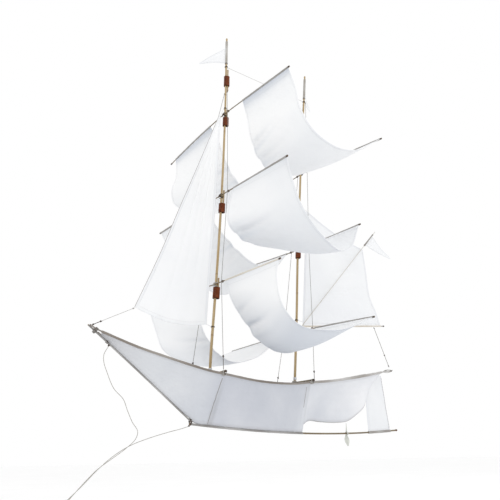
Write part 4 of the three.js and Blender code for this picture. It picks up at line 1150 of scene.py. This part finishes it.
def make_spanker():
    luff = Curve([boom_at(56), (90, 0, 508)], straight=True)
    leech = Curve([boom_at(336), (323, 0, 292), (304, 0, 330), (299, 0, 400), (294, 0, 455)])

    def P(u, v):
        a, b = luff.at(v), leech.at(v)
        q = a + (b - a) * u[..., None]
        z = 1.6 * (1 - v) - 9 * np.sin(math.pi * u) * v**3
        y = 6 * np.sin(math.pi * u) * np.sin(math.pi * v)
        for slope, at, size in ((0.9, 0.18, 1.5), (0.75, 0.42, 1.2), (0.5, 0.7, 1.4)):
            d = (v - at - slope * 0.35 * u) / 0.022
            y = y + size * np.exp(-d * d) * np.sin(math.pi * u)
        y = y + 1.3 * np.sin(7 * u + 5 * v) * np.sin(math.pi * u) * np.sin(math.pi * v)
        y = y + 0.8 * np.sin(34 * u) * np.exp(-v / 0.05)
        return q + np.stack([0 * u, y, z], -1)

    sail = Piece()
    sail.sheet(P, 48, 52, 0.42, hems=("u0", "u1", "v1"), hem=5.0, tone=lambda u, v: 0.06 + 0.03 * np.sin(5 * v + 3 * u))
    for line in ([(0.016, 0.02), (0.022, 0.98)], [(0.98, 0.02), (0.975, 0.98)], [(0.02, 0.985), (0.98, 0.985)],
                 [(0.01, 0.02), (0.99, 0.02)]):
        sail.stitches(P, line, 0.5)
    for z, x, zz in ((512, 92, 506), (232, 57.5, 231)):
        p, r = mast_tie(sail, AFT, z, 2)
        sail.tube(np.array([p + arr(r + 0.6, 0, 0), arr(x, 0, zz)]), 0.4, 7, 1, lobes=3, depth=0.2)
    path = boom_at(np.linspace(56, 336, 160))
    s = run_length(path)
    pocket = Piece().tube(path, 1.88 + 0.15 * np.sin(s / 4.7) * np.sin(s / 12.1), 14, 0,
                          np.clip(0.2 + 0.2 * np.sin(s / 15), 0, 1), end=0.15)
    hem = pocket.make("spanker_boom_pocket", [PALE_HEM], slot="hemmed_rod")
    o = sail.make("spanker_cloth", [SHADED, THREAD, DARK], replaces="spanker", slot="sailcloth")
    boom = Piece()
    path = boom_at(np.linspace(42, 349, 150))
    bamboo_bar(boom, path, 1.15, 1.12, 60, 31, 12)
    c, d = boom_at(348), unit(boom_at(349) - boom_at(342))
    boom.tube(winding(c, (0, 1, 0), np.cross(d, arr(0, 1, 0)), 1.4, 1.4, 5, 0.7), 0.36, 6, 1)
    boom.make("boom_bamboo", [GREY_ROD, DARK], replaces="boom", slot="bamboo")
    foot, tip = arr(42.5, -4.6, 213.6), arr(349, -4.6, 517.4)
    bar = Piece()
    bamboo_bar(bar, np.linspace(foot, tip, 200), 0.85, 0.8, 70, 32, 10)
    bar.make("sprit_bamboo", [PALE_ROD], replaces="sprit", slot="bamboo")
    run = Curve([boom_at(308) - arr(0, 0, 2.9), (353, 0, 158.5)], straight=True)
    line = Piece().tube(run.run(0.7), 0.6, 7, 0, lobes=3, depth=0.1, pitch=2.6)
    for f, size in ((0.70, 1.4), (0.97, 1.1), (0.02, 1.0)):
        line.tube(knot_path(run.at(f), run.at(1) - run.at(0), size, 1.9), 0.42, 6, 1)
    line.tube(run.run(0.7, 0.71, 0.96), 0.55, 7, 1, lobes=2, depth=0.2, pitch=2.2)
    line.make("spanker_sheet_cord", [FINE, DARK], replaces="spanker_sheet", slot="cord")


make_spanker()


# ---------------------------------------------------------------- standing rigging
def make_shrouds():
    jobs = (("fore", FORE, 734, (0.5, 5), ("fore_yard_upper", "fore_yard_middle", "fore_yard_lower"), (17, 30, 26),
             (-200.6, 50)),
            ("aft", AFT, 822, (1.5, 4.6), ("aft_yard_upper", "aft_yard_middle", "aft_yard_lower"), (16, 28, 43),
             (24.4, 54.5)))
    for name, mast, z, (dx, dy), yards, ys, (fx, fy) in jobs:
        for side_name, side in SIDES:
            line = Piece()
            points = [on_mast(mast, z)[0] + arr(dx, side * dy, 0)]
            for yard_name, y in zip(yards, ys):
                yard = YARDS[yard_name]
                c = yard.at(np.array(side * y, float))
                off = 2.4 if yard.aft > 0 else -2.4
                points.append(c + arr(off, 0, 0))
                line.tube(winding(c, (1, 0, 0), (0, 0, 1), 2.25, 2.25, 2.6, 0.85), 0.4, 7, 1, lobes=3, depth=0.2)
            points.append(arr(fx, side * fy, SPAR_Z + 2.9))
            path = Curve(points, straight=True).run(0.8)
            s = run_length(path)
            last = np.linalg.norm(points[-1] - points[-2])
            line.tube(path, 0.48, 7, 0, lobes=3, depth=0.1, pitch=2.4)
            toggle = points[-2] + (points[-1] - points[-2]) * 0.86
            line.tube(knot_path(toggle, points[-1] - points[-2], 1.6, 2.1), 0.5, 7, 1)
            low = np.linspace(toggle, points[-1], 60)
            line.tube(low, 0.62, 8, 1, lobes=2, depth=0.28, pitch=2.4)
            line.tube(knot_path(points[0] - arr(0, 0, 1), (0, 0, 1), 1.1, 1.5), 0.4, 6, 1)
            line.make(f"{name}_shroud_{side_name}_cord", [FINE, DARK], replaces=f"{name}_shroud_{side_name}", slot="cord")
    stay = Piece()
    a, _, ra = on_mast(FORE, 806)
    b, _, rb = on_mast(AFT, 826)
    stay.tube(np.linspace(a + arr(3.1, 0, 0), b - arr(3.1, 0, 0), 340), 0.42, 7, 0, lobes=3, depth=0.1, pitch=2.4)
    for p, r in ((a, ra), (b, rb)):
        stay.tube(winding(p, (1, 0, 0), (0, 1, 0), r + 0.9, r + 0.9, 3.2, 0.9), 0.42, 7, 1, lobes=3, depth=0.2)
    stay.make("topmast_stay_cord", [LIGHT_LINE, DARK], replaces="topmast_stay", slot="cord")


make_shrouds()


# ---------------------------------------------------------------- pennants
def make_pennant(name, base, direction, hem_long, hoist, r, out, droop, width, body):
    d, out, droop = unit(direction), unit(out), arr(*droop)
    side = unit(np.cross(d, out))
    h0, h1 = base + d * hoist[0], base + d * hoist[1]

    def P(u, v):
        start = h0 + (h1 - h0) * v[..., None] + out * (r + 0.75)
        tip = (h0 + h1) / 2 + out * width + droop + d * ((v[..., None] - 0.5) * 3)
        q = start + (tip - start) * u[..., None]
        curl = 4 * np.sin(math.pi * 1.5 * u) * u + 0.8 * np.sin(9 * u + 3 * v) * np.sin(math.pi * v) * u * (1 - u) * 4
        return q + side * curl[..., None]

    flag = Piece()
    flag.sheet(P, 30, 14, 0.4, hems=("v0", "v1"), hem=3.0)
    flag.stitches(P, [(0.03, 0.05), (0.9, 0.12)], 0.42, every=3.2)
    flag.stitches(P, [(0.03, 0.95), (0.9, 0.88)], 0.42, every=3.2)
    flag.stitches(P, [(0.05, 0.04), (0.05, 0.96)], 0.4, every=3.2)
    pole = np.linspace(base, base + d * hem_long, 44)
    s = run_length(pole)
    sleeve = Piece()
    # The pocket is open at the foot, where the pole enters it.
    ring = r + 0.85 + 0.09 * np.sin(s / 3.7) * np.sin(s / 9.1)
    sleeve.tube(pole, ring, 16, 0, np.clip(0.2 + 0.25 * np.sin(s / 8.0), 0, 1), end=0.15)
    sleeve.tube(winding(base + d * 1.4, out, side, r + 0.95, r + 0.95, 2.5, 0.7), 0.33, 6, 1)
    hem = sleeve.make(f"{name}_pocket", [SLEEVED if name == "sprit_pennant" else POLE_HEM, DARK], body, slot="hemmed_rod")
    o = flag.make(f"{name}_cloth", [SHADED, THREAD], body, replaces=name, slot="sailcloth")


POLE_HEM = cloth_finish("pole_hem", linear(196, 194, 190), linear(168, 164, 158), linear(140, 130, 116))
HEAD, _, HEAD_R = on_mast(FORE, 814)
make_pennant("fore_pennant", HEAD, on_mast(FORE, 884)[0] - HEAD, 66, (2, 46), HEAD_R, (-1, 0.1, 0), (0, 0, -50), 70,
             "flag_fore")
HEAD, _, HEAD_R = on_mast(AFT, 836)
make_pennant("aft_pennant", HEAD, on_mast(AFT, 908)[0] - HEAD, 66, (2, 46), HEAD_R, (0.82, 0.57, 0), (0, 0, -22), 62,
             "flag_aft")
SPRIT = unit(arr(306.5, 0, 303.8))
make_pennant("sprit_pennant", arr(42.5, -4.6, 213.6) + SPRIT * 358, SPRIT, 58, (4, 52), 1.0, (0.687, 0, -0.726),
             (26, 0, 25), 83, "flag_sprit")


# ---------------------------------------------------------------- ribbon tag
def make_ribbon():
    c = keel_at(174.0)

    def down(u, v):
        w = 7.5 * (1 - 0.75 * np.maximum(0, v - 0.6) / 0.4) * (0.35 + 0.65 * np.minimum(1, v * 3))
        x = 173 + (u - 0.5) * 2 * w + 3 * v
        y = 0.5 * np.sin(3 * v) + 1.1 * np.sin(math.pi * u) * np.sin(2.4 * v) + 0.5 * np.sin(9 * u) * np.exp(-v / 0.15)
        return np.stack([x, y, c[2] - KEEL_R - 1.2 - 23 * v], -1)

    def up(u, v):
        w = 2.2 * (1 - 0.85 * v)
        x = 174 + (u - 0.5) * 2 * w + 1.5 * v
        return np.stack([x, 0.8 * np.sin(math.pi * u), c[2] + KEEL_R + 1.2 + 18 * v], -1)

    tag = Piece()
    tag.sheet(down, 16, 30, 0.4, tone=lambda u, v: 0.5 * np.exp(-v / 0.1) + 0.2 * np.sin(math.pi * u) ** 4)
    tag.sheet(up, 6, 16, 0.4, tone=lambda u, v: 0.4 * np.exp(-v / 0.15) + 0 * u)
    turn = winding(c, (0, 1, 0), (0, 0, 1), KEEL_R + 1.1, KEEL_R + 1.1, 2.3, 1.35)
    knot = Piece().tube(turn, 0.62, 10, 0, 0.4)
    knot.tube(knot_path(c + arr(0.3, -KEEL_R - 1.2, -1.2), (0.2, 0, 1), 1.6, 1.9), 0.62, 8, 0, 0.3)
    tie = knot.make("ribbon_tag_knot", [RIBBON], "tag", slot="ribbon")
    o = tag.make("ribbon_tag_ribbon", [RIBBON], "tag", replaces="ribbon_tag", slot="ribbon")


make_ribbon()


# ---------------------------------------------------------------- floor, light and finish
def make_studio():
    size, z = 60.0, -0.17
    mesh = bpy.data.meshes.new("floor")
    mesh.from_pydata([(-size, -size, z), (size, -size, z), (size, size, z), (-size, size, z)], [], [(0, 1, 2, 3)])
    floor = bpy.data.objects.new("floor", mesh)
    bpy.context.scene.collection.objects.link(floor)
    f = Finish("floor_white", 0.9, 0.0, 0.2)
    cloud = f.noise(f.place((1, 1, 1)), 3.0, 2.0)
    f.colour(f.ramp(cloud, [(0.3, (0.97, 0.97, 0.97, 1)), (0.7, (0.99, 0.99, 0.99, 1))]))
    mesh.materials.append(f.mat)
    world = bpy.data.worlds.new("studio")
    world.use_nodes = True
    background = world.node_tree.nodes["Background"]
    background.inputs["Color"].default_value = (1, 1, 1, 1)
    background.inputs["Strength"].default_value = 1.0
    bpy.context.scene.world = world
    for name, place, aim, wide, power in (
        ("key", (0.9, -1.9, 2.3), (0, 0, 0.35), 1.6, 9), ("fill", (-1.7, -1.9, 0.5), (0, 0, 0.3), 2.0, 2),
    ):
        data = bpy.data.lights.new(name, "AREA")
        data.size, data.energy = wide, power
        lamp = bpy.data.objects.new(name, data)
        lamp.location = place
        lamp.rotation_euler = (Vector(aim) - Vector(place)).to_track_quat("-Z", "Y").to_euler()
        bpy.context.scene.collection.objects.link(lamp)
    bpy.context.scene.view_settings.view_transform = "Standard"
    bpy.context.scene.view_settings.look = "None"


make_studio()
